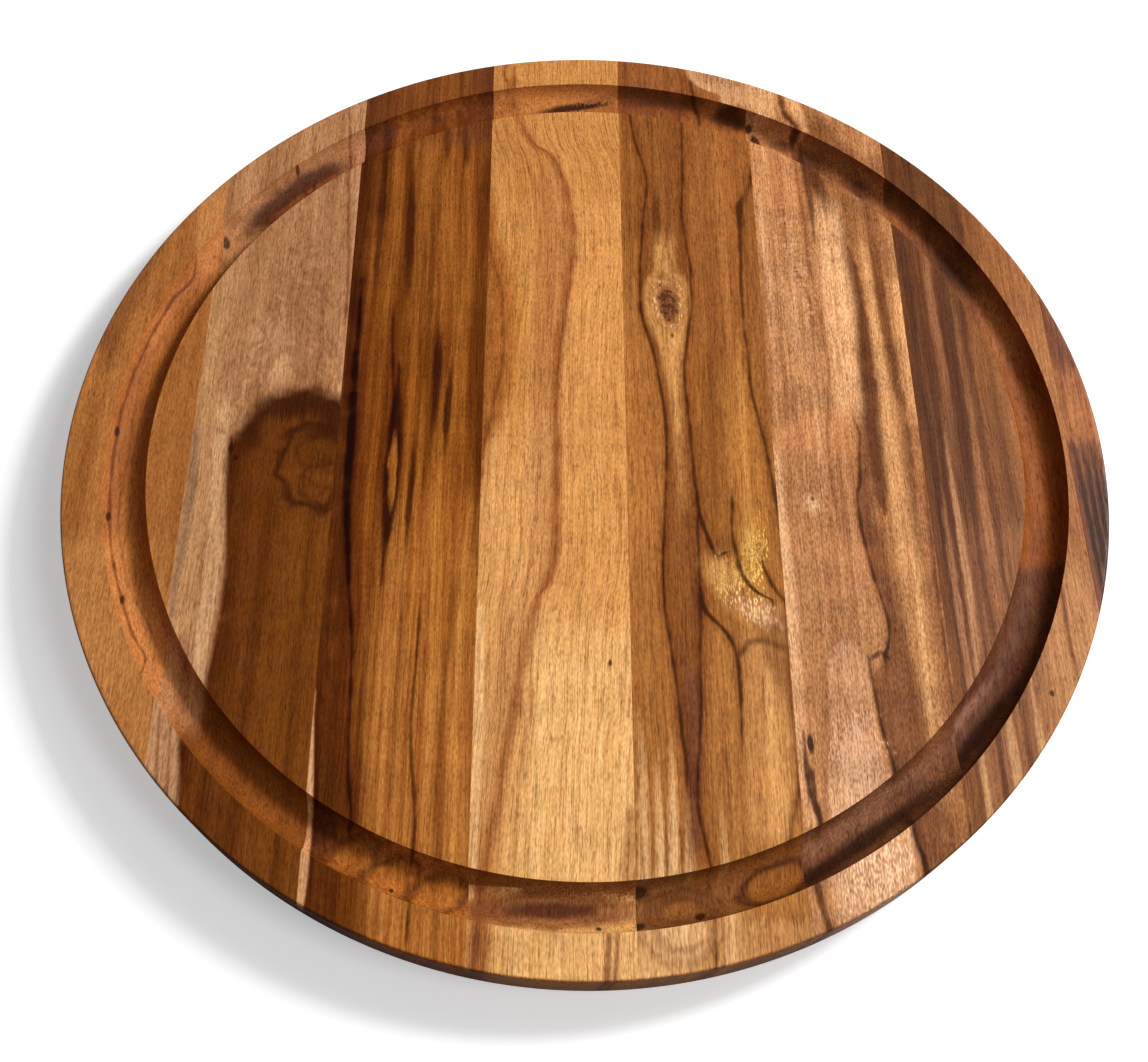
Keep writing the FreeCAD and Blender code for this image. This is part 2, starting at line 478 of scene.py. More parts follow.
def start_wood(number, light, dark, lean=0.1, drift=None, knot=(0.0, 0.0, 20.0, 30.0, 0.0)):
    """The stave's own ground: two tones in long streaks, on grain that drifts and bows as given."""
    wood = Wood()
    wood.material = bpy.data.materials.new(f"stave_{number}_wood")
    wood.material.use_nodes = True
    wood.tree = wood.material.node_tree
    place = wood.tree.nodes.new("ShaderNodeTexCoord")
    grow = wood.tree.nodes.new("ShaderNodeVectorMath")
    grow.operation = "SCALE"
    grow.inputs["Scale"].default_value = 1 / MM
    wood.tree.links.new(place.outputs["Object"], grow.inputs[0])
    wood.position = grow.outputs[0]
    split = wood.tree.nodes.new("ShaderNodeSeparateXYZ")
    wood.tree.links.new(wood.position, split.inputs[0])
    wood.along = split.outputs[1]
    wood.along_share = calc(wood.tree, "MULTIPLY_ADD", split.outputs[1], 1 / BOARD_SPAN, 0.5)
    wood.hairy_share = wood.along_share
    drift_now = 0.0
    if drift:
        drift_now = follow(wood, [[(y, x / BOARD_SPAN + 0.5) for y, x in drift]])[0]
        drift_now = calc(wood.tree, "MULTIPLY_ADD", drift_now, BOARD_SPAN, -BOARD_SPAN / 2)
    wood.grown = place_effect(
        wood.tree,
        "grown_wood",
        Position=wood.position,
        Seed=float(number),
        Lean=lean,
        Drift=drift_now,
        Knot_X=knot[0],
        Knot_Y=knot[1],
        Knot_Width=knot[2],
        Knot_Length=knot[3],
        Knot_Push=knot[4],
    )
    wood.across_share = calc(wood.tree, "MULTIPLY_ADD", wood.grown["Across"], 1 / BOARD_SPAN, 0.5)
    wood.hairy_share = calc(wood.tree, "MULTIPLY_ADD", wood.grown["Along"], 1 / BOARD_SPAN, 0.5)
    wood.colour = blend_colours(wood.tree, wood.grown["Streaks"], tone(*light), tone(*dark))
    return wood


def follow(wood, channels):
    """Curves set point by point along the stave. Returns each one's value here."""
    node = wood.tree.nodes.new("ShaderNodeRGBCurve")
    for curve, rows in zip(node.mapping.curves, channels):
        rows = sorted((y / BOARD_SPAN + 0.5, value) for y, value in rows)
        if rows[0][0] > 0.001:
            rows.insert(0, (0.0, rows[0][1]))
        if rows[-1][0] < 0.999:
            rows.append((1.0, rows[-1][1]))
        curve.points[0].location, curve.points[1].location = rows[0], rows[-1]
        for place, value in rows[1:-1]:
            curve.points.new(place, value)
        for point in curve.points:
            point.handle_type = "AUTO_CLAMPED"
    node.mapping.update()
    place = point_of(wood.tree, wood.along_share, wood.along_share, wood.hairy_share)
    wood.tree.links.new(place, node.inputs["Color"])
    split = wood.tree.nodes.new("ShaderNodeSeparateXYZ")
    wood.tree.links.new(node.outputs[0], split.inputs[0])
    return split.outputs


def cover(wood, mask, colour):
    """Lay a tone over what the wood has so far."""
    wood.colour = blend_colours(wood.tree, mask, wood.colour, tone(*colour))


def only_on(wood, mask, where):
    """A mark's mask, kept to the groove or to the faces round it where the mark is cut off there."""
    if where is None:
        return mask
    share = wood.grown["Groove"]
    if where == "face":
        share = calc(wood.tree, "SUBTRACT", 1.0, share)
    return calc(wood.tree, "MULTIPLY", share, mask)


SOFT_EDGE = 1.5
HALO_STAIN = (196, 150, 100)


def band(
    wood, rows, colour, edge=0.6, ragged=0.6, strength=1.0,
    fade=None, halo=0.0, stain=0.6, where=None, uneven=0.0,
):
    """A zone of the wood between a left and a right side, in rows of (along, left, right)."""
    rows = sorted(rows)
    crisp = edge < SOFT_EDGE
    if fade is None:
        fade = 9.0 if crisp else 26.0
    middles = [(y, (left + right) / 2 / BOARD_SPAN + 0.5) for y, left, right in rows]
    halves = [(y, (right - left) / 2 / BOARD_SPAN + CURVE_FOOT) for y, left, right in rows]
    first, last = rows[0][0], rows[-1][0]
    there = [(first - fade, 0.0), (first, 1.0), (last, 1.0), (last + fade, 0.0)]
    there = [row for row in there if abs(row[0]) < 179]
    middle, half_width, presence = follow(wood, [middles, halves, there])
    mark = place_effect(
        wood.tree,
        "growth_mark",
        Across=wood.across_share,
        Middle=middle,
        Half_Width=half_width,
        Edge=edge / BOARD_SPAN,
        Ragged=ragged / BOARD_SPAN,
        Waver=wood.grown["Waver"],
        Presence=presence,
        Growth=wood.grown["Growth"],
        Strength=only_on(wood, strength, where),
        Halo_Width=max(halo, 0.1) / BOARD_SPAN,
        Swirl=wood.grown["Swirl"],
        Uneven=uneven / BOARD_SPAN,
        Lick=0.6 if crisp else 0.15,
    )
    if halo:
        share = calc(wood.tree, "MULTIPLY", mark["Halo"], stain)
        wood.colour = blend_colours(wood.tree, share, wood.colour, tone(*HALO_STAIN), "MULTIPLY")
    cover(wood, mark["Mask"], colour)


def vein(
    wood, rows, colour, width=1.2, edge=0.5, ragged=0.6, strength=1.0,
    halo=2.5, stain=0.35, where=None, taper=6.0,
):
    """A growth line, in rows of (along, across), or (along, across, width) where that changes."""
    rows = sorted((*row, width) if len(row) == 2 else row for row in rows)
    first, last = rows[0], rows[-1]
    rows = [(first[0] - taper, first[1], first[2] * 0.1), *rows, (last[0] + taper, last[1], last[2] * 0.1)]
    sides = [(y, x - wide / 2, x + wide / 2) for y, x, wide in rows]
    uneven = width * 0.8
    band(wood, sides, colour, edge, ragged, strength, 5.0, halo, stain, where, uneven)


def oval(wood, centre, radii, turn=0.0, ragged=0.1, hairy=False):
    """How far out a point is from an oval's middle, in radii. The centre is (across, along)."""
    return place_effect(
        wood.tree,
        "knot_oval",
        Across=wood.grown["Across"],
        Along=wood.grown["Along"] if hairy else wood.along,
        Centre_X=float(centre[0]),
        Centre_Y=float(centre[1]),
        Radius_X=float(radii[0]),
        Radius_Y=float(radii[1]),
        Turn=math.radians(turn),
        Ragged=ragged,
        Swirl=wood.grown["Swirl"],
    )["Distance"]


def blot(
    wood, centre, radii, colour, turn=0.0, edge=0.25, ragged=0.1, strength=1.0, where=None, hairy=False
):
    """A filled oval: a knot's core, a pit or a patch of another tone."""
    out = oval(wood, centre, radii, turn, ragged, hairy)
    mask = only_on(wood, ease_between(wood.tree, out, 1 + edge, 1 - edge, strength), where)
    cover(wood, mask, colour)


def flame(wood, x, top, foot, width, colour, strength, where=None):
    """A long thin lens of another tone, lying along the grain from its top to its foot."""
    half, reach = width / 2 + 0.4, (top - foot) / 2 + 7.0
    bent = calc(wood.tree, "MULTIPLY_ADD", wood.grown["Waver"], 2.2, wood.grown["Across"])
    beside = calc(wood.tree, "MULTIPLY_ADD", bent, 1 / half, -x / half)
    past = calc(wood.tree, "MULTIPLY_ADD", wood.along, 1 / reach, -(top + foot) / 2 / reach)
    out = calc(wood.tree, "MULTIPLY_ADD", past, past, calc(wood.tree, "MULTIPLY", beside, beside))
    mask = only_on(wood, ease_between(wood.tree, out, 1.7, 0.1, strength), where)
    cover(wood, mask, colour)


def speckle(
    wood, centre, radii, colour, turn=0.0, crowd=0.5, ragged=0.3, strength=1.0, where=None, field="Fleck"
):
    """Small flecks in an oval, thinner towards its edge: pits in a knot when dark, painted glints in curled
    grain when bright.
    """
    out = oval(wood, centre, radii, turn, ragged)
    thick = ease_between(wood.tree, out, 1.25, 0.35)
    grains = calc(wood.tree, "MULTIPLY_ADD", thick, 0.3, wood.grown[field])
    mask = ease_between(wood.tree, grains, 0.88 - 0.3 * crowd, 1.02 - 0.3 * crowd, strength)
    mask = calc(wood.tree, "MULTIPLY", mask, ease_between(wood.tree, thick, 0.0, 0.3))
    mask = only_on(wood, mask, where)
    cover(wood, mask, colour)


def ring(
    wood, centre, radii, colour, turn=0.0, width=1.0, edge=0.5,
    ragged=0.1, strength=1.0, rims=(1.0,), where=None,
):
    """The outline of an oval, or of several about one middle, each width millimetres across."""
    out = oval(wood, centre, radii, turn, ragged)
    small = min(radii)
    for rim in rims:
        off = calc(wood.tree, "ABSOLUTE", calc(wood.tree, "SUBTRACT", out, rim))
        reaches = (width / 2 + edge) / small, max(width / 2 - edge, 0.0) / small
        mask = only_on(wood, ease_between(wood.tree, off, *reaches, strength), where)
        cover(wood, mask, colour)


SATIN = 0.38
OIL_GLOSS = 0.12
# Tints multiplied in as painted shade: over the whole groove, and over the rim wall towards the staves'
# ends, where end grain also takes more oil
GROOVE_SHADE = (222, 186, 140)
END_GRAIN_SHADE_AND_OIL = (176, 140, 88)


def finish_stave(
    number, wood, growth=0.5, fibre=1.0, vessels=0.4, pores=0.45,
    shimmer=0.2, fleck=0.85, tint=(206, 178, 150),
):
    """Cut the stave, paint shade into its groove and onto the ends of its rim wall, lay the fine grain over
    its figure, and oil it.
    """
    stave = cut_stave(number)
    tree, grown = wood.tree, wood.grown
    fields = {name: grown[name] for name in ("Growth", "Fibre", "Vessels", "Pores", "Shimmer", "Fleck")}
    oiled = {name: grown[name] for name in ("Fibre", "Pores", "Groove")}
    surface = place_effect(tree, "oiled_surface", Satin=SATIN, **oiled)
    # Painted shade: the whole routed groove is darkened and browned, standing for the shade in its hollow
    groove_shade = calc(tree, "MULTIPLY", grown["Groove"], 0.4)
    shaded = blend_colours(tree, groove_shade, wood.colour, tone(*GROOVE_SHADE), "MULTIPLY")
    # Painted shade on the rim wall towards the staves' ends, which also stands for end grain taking more
    # oil
    end_grain_shade = calc(tree, "MULTIPLY", grown["End Grain Shade"], 0.9)
    shaded = blend_colours(tree, end_grain_shade, shaded, tone(*END_GRAIN_SHADE_AND_OIL), "MULTIPLY")
    grained = place_effect(
        tree,
        "fine_grain",
        Colour=shaded,
        Line_Tint=tone(*tint),
        Growth_Amount=growth,
        Vessel_Amount=vessels,
        Fibre_Amount=fibre,
        Pore_Amount=pores,
        Shimmer_Amount=shimmer,
        Fleck_Amount=fleck,
        **fields,
    )
    shader = tree.nodes["Principled BSDF"]
    shader.inputs["Specular IOR Level"].default_value = OIL_GLOSS
    tree.links.new(grained["Colour"], shader.inputs["Base Color"])
    tree.links.new(surface["Roughness"], shader.inputs["Roughness"])
    bump = tree.nodes.new("ShaderNodeBump")
    bump.inputs["Strength"].default_value = 0.35
    bump.inputs["Distance"].default_value = 0.06 * MM
    tree.links.new(surface["Height"], bump.inputs["Height"])
    tree.links.new(bump.outputs[0], shader.inputs["Normal"])
    stave.data.materials.append(wood.material)


def round_the_groove(radius, places, width):
    """A growth line that keeps to one radius of the groove, on its left side."""
    return [(y, -math.sqrt(radius**2 - y**2), width) for y in places]


wood = start_wood(1, (182, 118, 62), (156, 96, 48), lean=0.15)
band(wood, [(140, -146, -134), (90, -146, -134), (70, -143, -134)], (196, 132, 78), 3.0, 1.5, 0.7)
band(wood, [(-50, -180, -134), (-90, -180, -134), (-120, -170, -134)], (196, 134, 76), 6.0, 1.5, 0.6)
band(wood, [(60, -152, -134), (0, -152, -134), (-40, -150, -134)], (164, 102, 52), 2.0, 1.0, 0.6)
band(
    wood, [(96, -158, -154), (84, -160, -156), (72, -164, -159), (60, -168, -161.5), (50, -171, -164),
    (40, -173, -165), (32, -170, -167)], (116, 70, 40), 2.4, 1.0, 0.6, fade=8.0, where="face",
)
line_places = (75, 60, 40, 20, 5, -10, -28, -45, -58, -70, -80)
vein(
    wood, round_the_groove(162.0, line_places, 0.9), (96, 50, 20), edge=0.4, ragged=0.8, strength=0.75,
    halo=0.0,
)
vein(
    wood, round_the_groove(158.8, (72, 50, 20, -20, -50, -78), 0.6), (120, 66, 28), edge=0.6,
    strength=0.5, halo=0.0,
)
for pit in ((-162, 5), (-160, -28), (-151, -58)):
    blot(wood, pit, (0.8, 2.0), (40, 20, 10), edge=0.4, ragged=0.3, strength=0.85)
finish_stave(1, wood, growth=0.3, vessels=0.25)

# Stave 2: pale sapwood above, and below it a patch of dark heartwood with a fuzzy upper edge,
# a swirl knot against the joint, and a strip of sapwood left along the other side.
wood = start_wood(2, (192, 140, 96), (164, 114, 74), lean=0.12)
band(wood, [(110, -102, -84), (80, -104, -84), (50, -100, -84)], (160, 112, 76), 6.0, 2.0, 0.6, fade=30.0)
band(wood, [(160, -94, -85), (110, -90, -85), (50, -87, -85)], (196, 146, 106), 1.2, 0.6, 0.5)
band(wood, [(60, -136, -130), (0, -136, -128), (-60, -136, -126)], (196, 148, 100), 3.0, 1.5, 0.6)
vein(wood, [(165, -94), (150, -92), (100, -89), (55, -86)], (112, 66, 36), 1.0, 0.6, 1.2, 0.7)
blot(wood, (-110, 38), (9, 16), (208, 158, 114), 6, 0.7, 0.2, 0.55)
for peak, half, share in ((68, 22.5, 0.45), (55, 18.0, 0.45), (43, 14.0, 0.5)):
    ring(wood, (-104, -60), (half, peak + 60), (128, 80, 48), 0, 1.3, 0.9, 0.25, share)
blot(wood, (-99, -8), (24, 31), (134, 84, 48), 3, 0.16, 0.1, 0.55, hairy=True)
blot(wood, (-98, -10), (23.5, 31), (66, 31, 12), 3, 0.1, 0.12, 0.97)
band(
    wood, [(-4, -122.5, -80), (-20, -121.5, -80), (-40, -119, -80), (-55, -118, -80), (-70, -118.5, -80),
    (-85, -120, -80), (-107, -126, -80), (-124, -127, -80), (-150, -129, -80)], (76, 37, 13), 0.9, 0.3,
    fade=10.0, halo=4.0, stain=0.6,
)
band(
    wood, [(2, -112, -92), (-8, -117, -80), (-30, -118.5, -80), (-60, -116.5, -80), (-90, -118, -80),
    (-150, -126, -80)], (110, 60, 24), 3.5, 1.2, 0.85, fade=14.0,
)
band(
    wood, [(-20, -101, -80), (-70, -102, -80), (-120, -104, -80), (-150, -104, -80)], (128, 74, 28), 6.0,
    3.0, 0.6,
)
for row in ((-117.5, -114), (-108, -104.5), (-93, -90.5)):
    band(
        wood, [(-30, row[0], row[1]), (-80, row[0], row[1]), (-150, row[0] - 1, row[1])], (78, 40, 15),
        1.5, 2.5, 0.5,
    )
vein(wood, [(0, -134), (-15, -133), (-40, -133.5), (-62, -134)], (120, 100, 84), 2.0, 1.2, 1.0, 0.6)
band(
    wood, [(0, -128, -123), (-20, -127, -122), (-50, -125, -119.5), (-85, -126, -120.5)], (216, 170, 124),
    1.6, 0.3, 0.75, fade=30.0,
)
blot(wood, (-93, -12), (10, 14), (112, 63, 24), 8, 0.3, 0.4, 0.8)
blot(wood, (-90, -6), (7, 6), (92, 50, 19), -20, 0.5, 0.6, 0.6)
ring(wood, (-93, -11), (11, 15.5), (60, 28, 10), 8, 1.8, 1.8, 0.4, 0.75)
ring(wood, (-89, -8), (8.5, 11), (70, 35, 13), 25, 1.4, 1.5, 0.5, 0.5)
ring(wood, (-87, -17), (10, 8), (66, 33, 12), -20, 1.4, 1.5, 0.5, 0.5)
band(wood, [(-88, -137, -128), (-130, -138, -124)], (200, 150, 108), 1.2, 1.2, 0.85, where="face")
for x in (-133, -129.5):
    vein(wood, [(-90, x), (-130, x + 2)], (112, 66, 38), 0.8, 0.5, 0.8, 0.6, where="face")
blot(wood, (-110, 111), (6.0, 25), (78, 44, 30), -45, 0.3, 0.25, 0.95, where="groove")
blot(wood, (-105, 111.5), (2.6, 16), (160, 94, 50), -47, 0.5, 0.3, 0.8, where="groove")
ring(wood, (-105, 115), (2.2, 3.0), (84, 42, 24), 0, 0.7, 0.5, 0.6, 0.7, where="groove")
for pit, size in (
    ((-134, 88), (1.2, 2.2)),
    ((-110, 121), (0.8, 1.6)),
    ((-121.5, -3), (1.0, 2.0)),
    ((-119.5, -7), (0.6, 1.0)),
):
    blot(wood, pit, size, (48, 24, 14), 0, 0.35, 0.6, 0.85)
band(wood, [(-95, -128, -84), (-140, -128, -84)], (146, 86, 30), 5.0, 3.0, 0.5, where="groove")
finish_stave(2, wood, growth=0.35, vessels=0.45)

# Stave 3: rich heartwood in golden and dark brown flames, with a near-black line on its left,
# dark lenses about the middle, and a sliver of sapwood at the lower end.
wood = start_wood(3, (152, 90, 36), (112, 60, 20), lean=0.18)
band(
    wood, [(-45, -69, -34), (-75, -70, -34), (-110, -69, -34), (-170, -66, -34)], (192, 126, 60), 6.0,
    4.0, 0.85, fade=45.0,
)
band(wood, [(120, -66, -40), (80, -66, -40), (60, -64, -42)], (166, 102, 44), 6.0, 4.0, 0.6, fade=30.0)
band(wood, [(20, -52, -40), (-20, -54, -38), (-60, -54, -36)], (166, 100, 38), 5.0, 4.0, 0.6, fade=40.0)
band(wood, [(178, -90, -79), (100, -90, -79), (60, -90, -82)], (76, 38, 16), 3.0, 2.0, 0.85)
band(
    wood, [(60, -90, -80), (30, -90, -79), (-20, -90, -78), (-80, -90, -77), (-150, -90, -74)],
    (78, 38, 12), 3.0, 2.0, 0.8,
)
band(wood, [(150, -79, -73), (110, -78, -73.5)], (78, 40, 16), 2.4, 1.5, 0.7)
band(wood, [(60, -77, -69), (0, -76, -69.5), (-50, -74, -69)], (122, 66, 22), 4.0, 3.0, 0.6)
for x, top, foot, wide, shade, share in (
    (-76.5, 138, 70, 2.4, (60, 28, 11), 0.7),
    (-71.0, 142, 50, 4.0, (166, 102, 44), 0.7),
    (-66.5, 138, 96, 2.0, (96, 50, 20), 0.6),
    (-61.5, 150, 84, 3.6, (160, 98, 42), 0.6),
    (-56.0, 128, 40, 2.4, (98, 52, 20), 0.55),
    (-50.5, 146, 60, 3.4, (158, 94, 38), 0.6),
    (-72.5, 20, -60, 1.6, (160, 92, 34), 0.6),
    (-61.0, 40, -40, 3.0, (170, 102, 38), 0.65),
    (-57.0, 10, -70, 2.2, (186, 118, 48), 0.7),
    (-49.5, -10, -90, 3.0, (196, 130, 56), 0.6),
    (-65.0, -60, -150, 3.0, (190, 126, 60), 0.6),
    (-60.0, -50, -140, 1.2, (110, 60, 22), 0.5),
    (-70.5, -70, -130, 1.4, (96, 50, 18), 0.55),
    (-41.0, -50, -150, 2.6, (200, 138, 66), 0.55),
    (-65.0, 112, 68, 2.8, (58, 27, 10), 0.8),
    (-53.0, 42, 6, 2.4, (54, 24, 8), 0.9),
    (-48.0, 24, 4, 1.8, (54, 24, 8), 0.85),
    (-59.5, -8, -35, 1.6, (60, 28, 9), 0.85),
    (-53.0, 139, 131, 2.2, (66, 32, 14), 0.8),
    (-45.5, 141, 129, 2.4, (66, 32, 14), 0.8),
):
    flame(wood, x, top, foot, wide, shade, share)
vein(
    wood, [(60, -82, 1.0), (45, -81.5, 2.0), (20, -81.5, 3.2), (0, -81, 3.4), (-20, -80.5, 3.0),
    (-40, -79, 2.0), (-55, -77.5, 1.4), (-72, -75.5, 1.1), (-90, -74.5, 1.0), (-120, -73, 1.2),
    (-131, -71.5, 0.8)], (34, 15, 5), 1.0, 0.8, 0.9, 0.95, halo=6.0, stain=0.6,
)
vein(wood, [(50, -69.5), (30, -68.5), (12, -67)], (52, 24, 8), 1.0, 0.6, 1.2, 0.85)
band(
    wood, [(27, -66.5, -65.5), (12, -68, -64), (-10, -69, -63.5), (-30, -69, -64.5), (-49, -67.8, -67)],
    (48, 21, 6), 0.9, 1.4, 0.92, halo=3.0,
)
flame(wood, -66.1, -5, -19, 1.8, (186, 116, 46), 0.85)
band(
    wood, [(155, -41, -34), (60, -40.5, -34), (0, -39, -34), (-35, -37.5, -34)], (82, 40, 14), 2.4, 1.8,
    0.7,
)
vein(wood, [(-66, -54.5), (-100, -55), (-135, -52.5), (-165, -53)], (72, 36, 14), 1.0, 0.5, 1.0, 0.8)
vein(wood, [(-60, -44), (-110, -46), (-170, -45)], (112, 64, 26), 1.4, 1.2, 1.5, 0.6)
band(
    wood, [(-95, -88, -85.4), (-112, -88, -84.3), (-130, -88, -83.2), (-145, -88, -83), (-168, -88, -84)],
    (216, 166, 118), 0.5, 0.5,
)
vein(wood, [(-90, -84.2), (-112, -83.4), (-130, -82), (-150, -82)], (60, 28, 12), 0.8, 0.5, 0.5, 0.7)
for centre, radii, turn in (
    ((-73, -142), (8, 5.0), 24),
    ((-59, -147.5), (7.5, 5.0), 20),
    ((-45, -151.5), (7.5, 4.6), 14),
):
    blot(wood, centre, radii, (176, 112, 42), turn, 0.8, 0.4, 0.6, where="groove")
    ring(
        wood, (centre[0] + 1, centre[1] - 1), (radii[0] + 1.5, radii[1] + 1.5), (84, 44, 14), turn, 1.4,
        1.6, 0.35, 0.6, where="groove",
    )
band(wood, [(178, -46, -34), (150, -46, -36)], (84, 42, 22), 1.6, 1.0, 0.5, where="face")
band(wood, [(178, -90, -34), (140, -90, -34)], (122, 74, 44), 4.0, 2.0, 0.45, where="face", fade=20.0)
blot(wood, (-58, -151.5), (0.8, 0.8), (30, 14, 6), 0, 0.4, 0.2, 0.9)
finish_stave(3, wood, growth=0.7, vessels=0.5, shimmer=0.3, tint=(190, 146, 104))

# Stave 4: pale golden wood with one winding reddish-brown growth line, a brown shoulder at its
# left edge, smooth gold on its right, a dark crescent in the far groove and an eye in the near.
WINDING = [
    (165, -28), (148, -26), (141, -24), (133, -20), (128, -14), (120, -10), (108, -7), (95, -5),
    (85, -4.5), (72, -5.5), (55, -8), (35, -10), (15, -11), (0, -10.5), (-20, -10.5), (-40, -11),
    (-52, -13), (-60, -17), (-70, -19.5), (-85, -21.5), (-100, -23), (-110, -26), (-125, -28),
    (-140, -30), (-170, -33),
]
wood = start_wood(4, (204, 144, 80), (186, 124, 66), lean=0.12, drift=[(y, x * 0.35) for y, x in WINDING])
band(wood, [(y, x, 20) for y, x in WINDING if y > -165], (216, 154, 88), 2.0, 1.0, 0.8)
band(
    wood, [(-10, -40, -10), (-60, -40, -14), (-110, -40, -24)], (230, 172, 106), 6.0, 2.0, 0.65, fade=40.0,
)
# Paler towards the near end: partly lighter wood, partly a painted sheen
band(wood, [(-104, -20, 20), (-120, -22, 20), (-178, -26, 20)], (236, 184, 118), 6.0, 2.0, 0.9, fade=70.0)
band(
    wood, [(95, -40, -33), (75, -40, -27), (50, -40, -24), (20, -40, -25.5), (5, -40, -31),
    (-8, -40, -35)], (164, 98, 42), 3.0, 1.5, 0.85,
)
band(wood, [(178, -40, 16), (140, -40, 16), (120, -40, 16)], (186, 126, 66), 6.0, 2.0, 0.6, fade=30.0)
band(wood, [(75, -28, -24), (40, -27, -20), (5, -28, -22)], (206, 142, 70), 3.0, 1.5, 0.5)
vein(
    wood, [(90, -36), (75, -33.5), (65, -31), (50, -30), (35, -29.5), (25, -30.5), (15, -32.5), (5, -34),
    (-6, -35.5)], (120, 68, 30), 1.2, 0.8, 0.9, 0.8, halo=4.0,
)
band(wood, [(60, -40, -34), (40, -40, -33.5), (15, -40, -35)], (140, 82, 40), 2.0, 0.8, 0.65)
for shift, width, share in ((-6, 1.2, 0.25), (-11, 1.0, 0.28), (-15.5, 0.9, 0.22)):
    vein(wood, [(y, x + shift) for y, x in WINDING], (150, 92, 48), width, 0.9, 2.0, share, halo=0.0)
band(wood, [(y, x - 9, x) for y, x in WINDING if y < 120], (176, 116, 70), 4.0, 1.4, 0.4)
vein(wood, [(y, x, 2.6) for y, x in WINDING], (156, 94, 50), 2.6, 1.5, 1.6, 0.75)
vein(wood, [(y, x + 0.6, 0.8) for y, x in WINDING if y > -70], (128, 70, 36), 0.8, 0.6, 1.6, 0.55)
band(wood, [(-66, -38, -33.5), (-100, -38, -32.5), (-150, -38, -33.5)], (236, 188, 130), 0.6, 0.6, 0.7)
band(wood, [(-132, 10.5, 16), (-150, 9, 16)], (150, 94, 54), 1.2, 0.8, 0.6)
blot(wood, (7, -81), (0.5, 1.1), (84, 40, 16), 0, 0.4, 0.2, 0.9)
blot(wood, (2, 155.5), (19, 4.2), (158, 98, 56), 5, 0.25, 0.3, 0.7, where="groove")
blot(wood, (1, 158.6), (19, 2.0), (54, 28, 20), 13, 0.45, 0.2, 0.95, where="groove")
band(wood, [(164, -28, 20), (161, -36, 20)], (212, 142, 80), 1.5, 0.8, 0.7, fade=3.0, where="groove")
band(wood, [(154, -40, -16), (148, -40, -16)], (176, 112, 60), 3.0, 1.0, 0.7, fade=4.0, where="groove")
# Painted shade on the inner wall of the near groove
band(
    wood, [(-150.6, -20, 14), (-149.6, -40, 14), (-146, -40, 14)], (132, 78, 34), 2.0, 0.6, 0.85,
    fade=4.0, where="groove",
)
blot(wood, (-11.5, -157), (23, 4.6), (156, 96, 56), 0, 0.12, 0.3, 0.75, where="groove")
blot(wood, (-11.5, -157), (19, 2.8), (80, 43, 26), 0, 0.6, 0.25, 0.92, where="groove")
ring(wood, (-11.5, -157), (24, 5.2), (124, 74, 40), 0, 1.0, 1.1, 0.2, 0.5, (1.0, 0.84), where="groove")
blot(wood, (8, -157), (4, 1.8), (190, 134, 88), 0, 0.7, 0.5, 0.5, where="groove")
blot(wood, (3, -162.5), (0.9, 0.7), (40, 20, 10), 0, 0.4, 0.2, 0.9)
for x, width in ((-33, 1.6), (-30, 0.8), (5.5, 1.4), (8, 1.1)):
    vein(
        wood, [(-165, x, width), (-178, x - 1, width)], (122, 72, 50), width, 0.6, 0.8, 0.7, where="face",
    )
vein(wood, [(176, -31, 0.8), (170, -32, 1.0), (163, -30, 0.7)], (128, 72, 36), 1.0, 0.6, 0.6, 0.7)
finish_stave(4, wood, growth=0.4, fibre=1.15, vessels=0.55, pores=0.5, tint=(212, 178, 146))

# Stave 5: golden-brown wood whose dark growth lines bow round a small pitted knot, and lower
# down break up round a bright swirl at the right joint.
wood = start_wood(5, (162, 102, 48), (132, 78, 35), lean=0.14, knot=(30.0, 60.0, 9.0, 26.0, 6.0))
LINE_A = [
    (175, 17), (148, 18), (138, 19), (128, 21), (120, 23), (112, 23.5), (100, 22), (85, 21), (70, 20),
    (58, 20), (48, 21.5), (38, 24), (28, 25.5), (15, 27), (0, 27.5), (-20, 26.5), (-35, 25.5),
    (-50, 24.5), (-60, 24.5), (-75, 26), (-87, 27.5), (-105, 29), (-116, 30),
]
LINE_B = [
    (160, 39), (145, 38), (125, 37.5), (110, 37), (100, 36.5), (85, 37.5), (72, 39), (60, 39),
    (48, 37.5), (38, 36), (25, 35), (12, 35.5), (0, 36), (-15, 36.5), (-25, 37), (-35, 36.5),
    (-62, 36.5), (-80, 35.5), (-95, 35), (-110, 34), (-125, 33), (-135, 34), (-148, 36), (-172, 36),
]
band(wood, [(y, 10, x) for y, x in LINE_A if y < 84], (184, 122, 62), 1.5, 1.0, 0.75, fade=30.0)
middle_left = [
    (150, 18.5), (112, 23.5), (85, 21.5), (60, 20.5), (38, 24), (15, 27), (-20, 27), (-60, 25),
    (-87, 28), (-116, 30.5),
]
middle_right = [
    (150, 38), (112, 37), (85, 37), (60, 38.5), (38, 36), (15, 35.5), (-20, 36.5), (-60, 36.5),
    (-87, 35.5), (-116, 33.5),
]
band(
    wood, [(y, a, b) for (y, a), (_, b) in zip(middle_left, middle_right)], (138, 84, 42), 1.4, 1.0, 0.75,
)
band(
    wood, [(34, 26.5, 34.5), (18, 28.0, 34), (0, 29.5, 34), (-12, 31, 34)], (184, 126, 70), 2.5, 1.2, 0.7,
)
band(wood, [(160, 40, 66), (100, 39, 59), (50, 39, 58)], (158, 98, 52), 4.0, 2.0, 0.6)
band(wood, [(10, 46, 60), (-20, 44, 62), (-45, 46, 62)], (196, 134, 66), 4.0, 3.0, 0.6, fade=40.0)
band(wood, [(-80, 38, 47), (-110, 36, 66), (-150, 38, 66)], (186, 126, 66), 4.0, 2.0, 0.7, fade=25.0)
band(wood, [(-50, 10, 24), (-90, 10, 25), (-120, 12, 26)], (158, 100, 48), 4.0, 2.0, 0.6, fade=20.0)
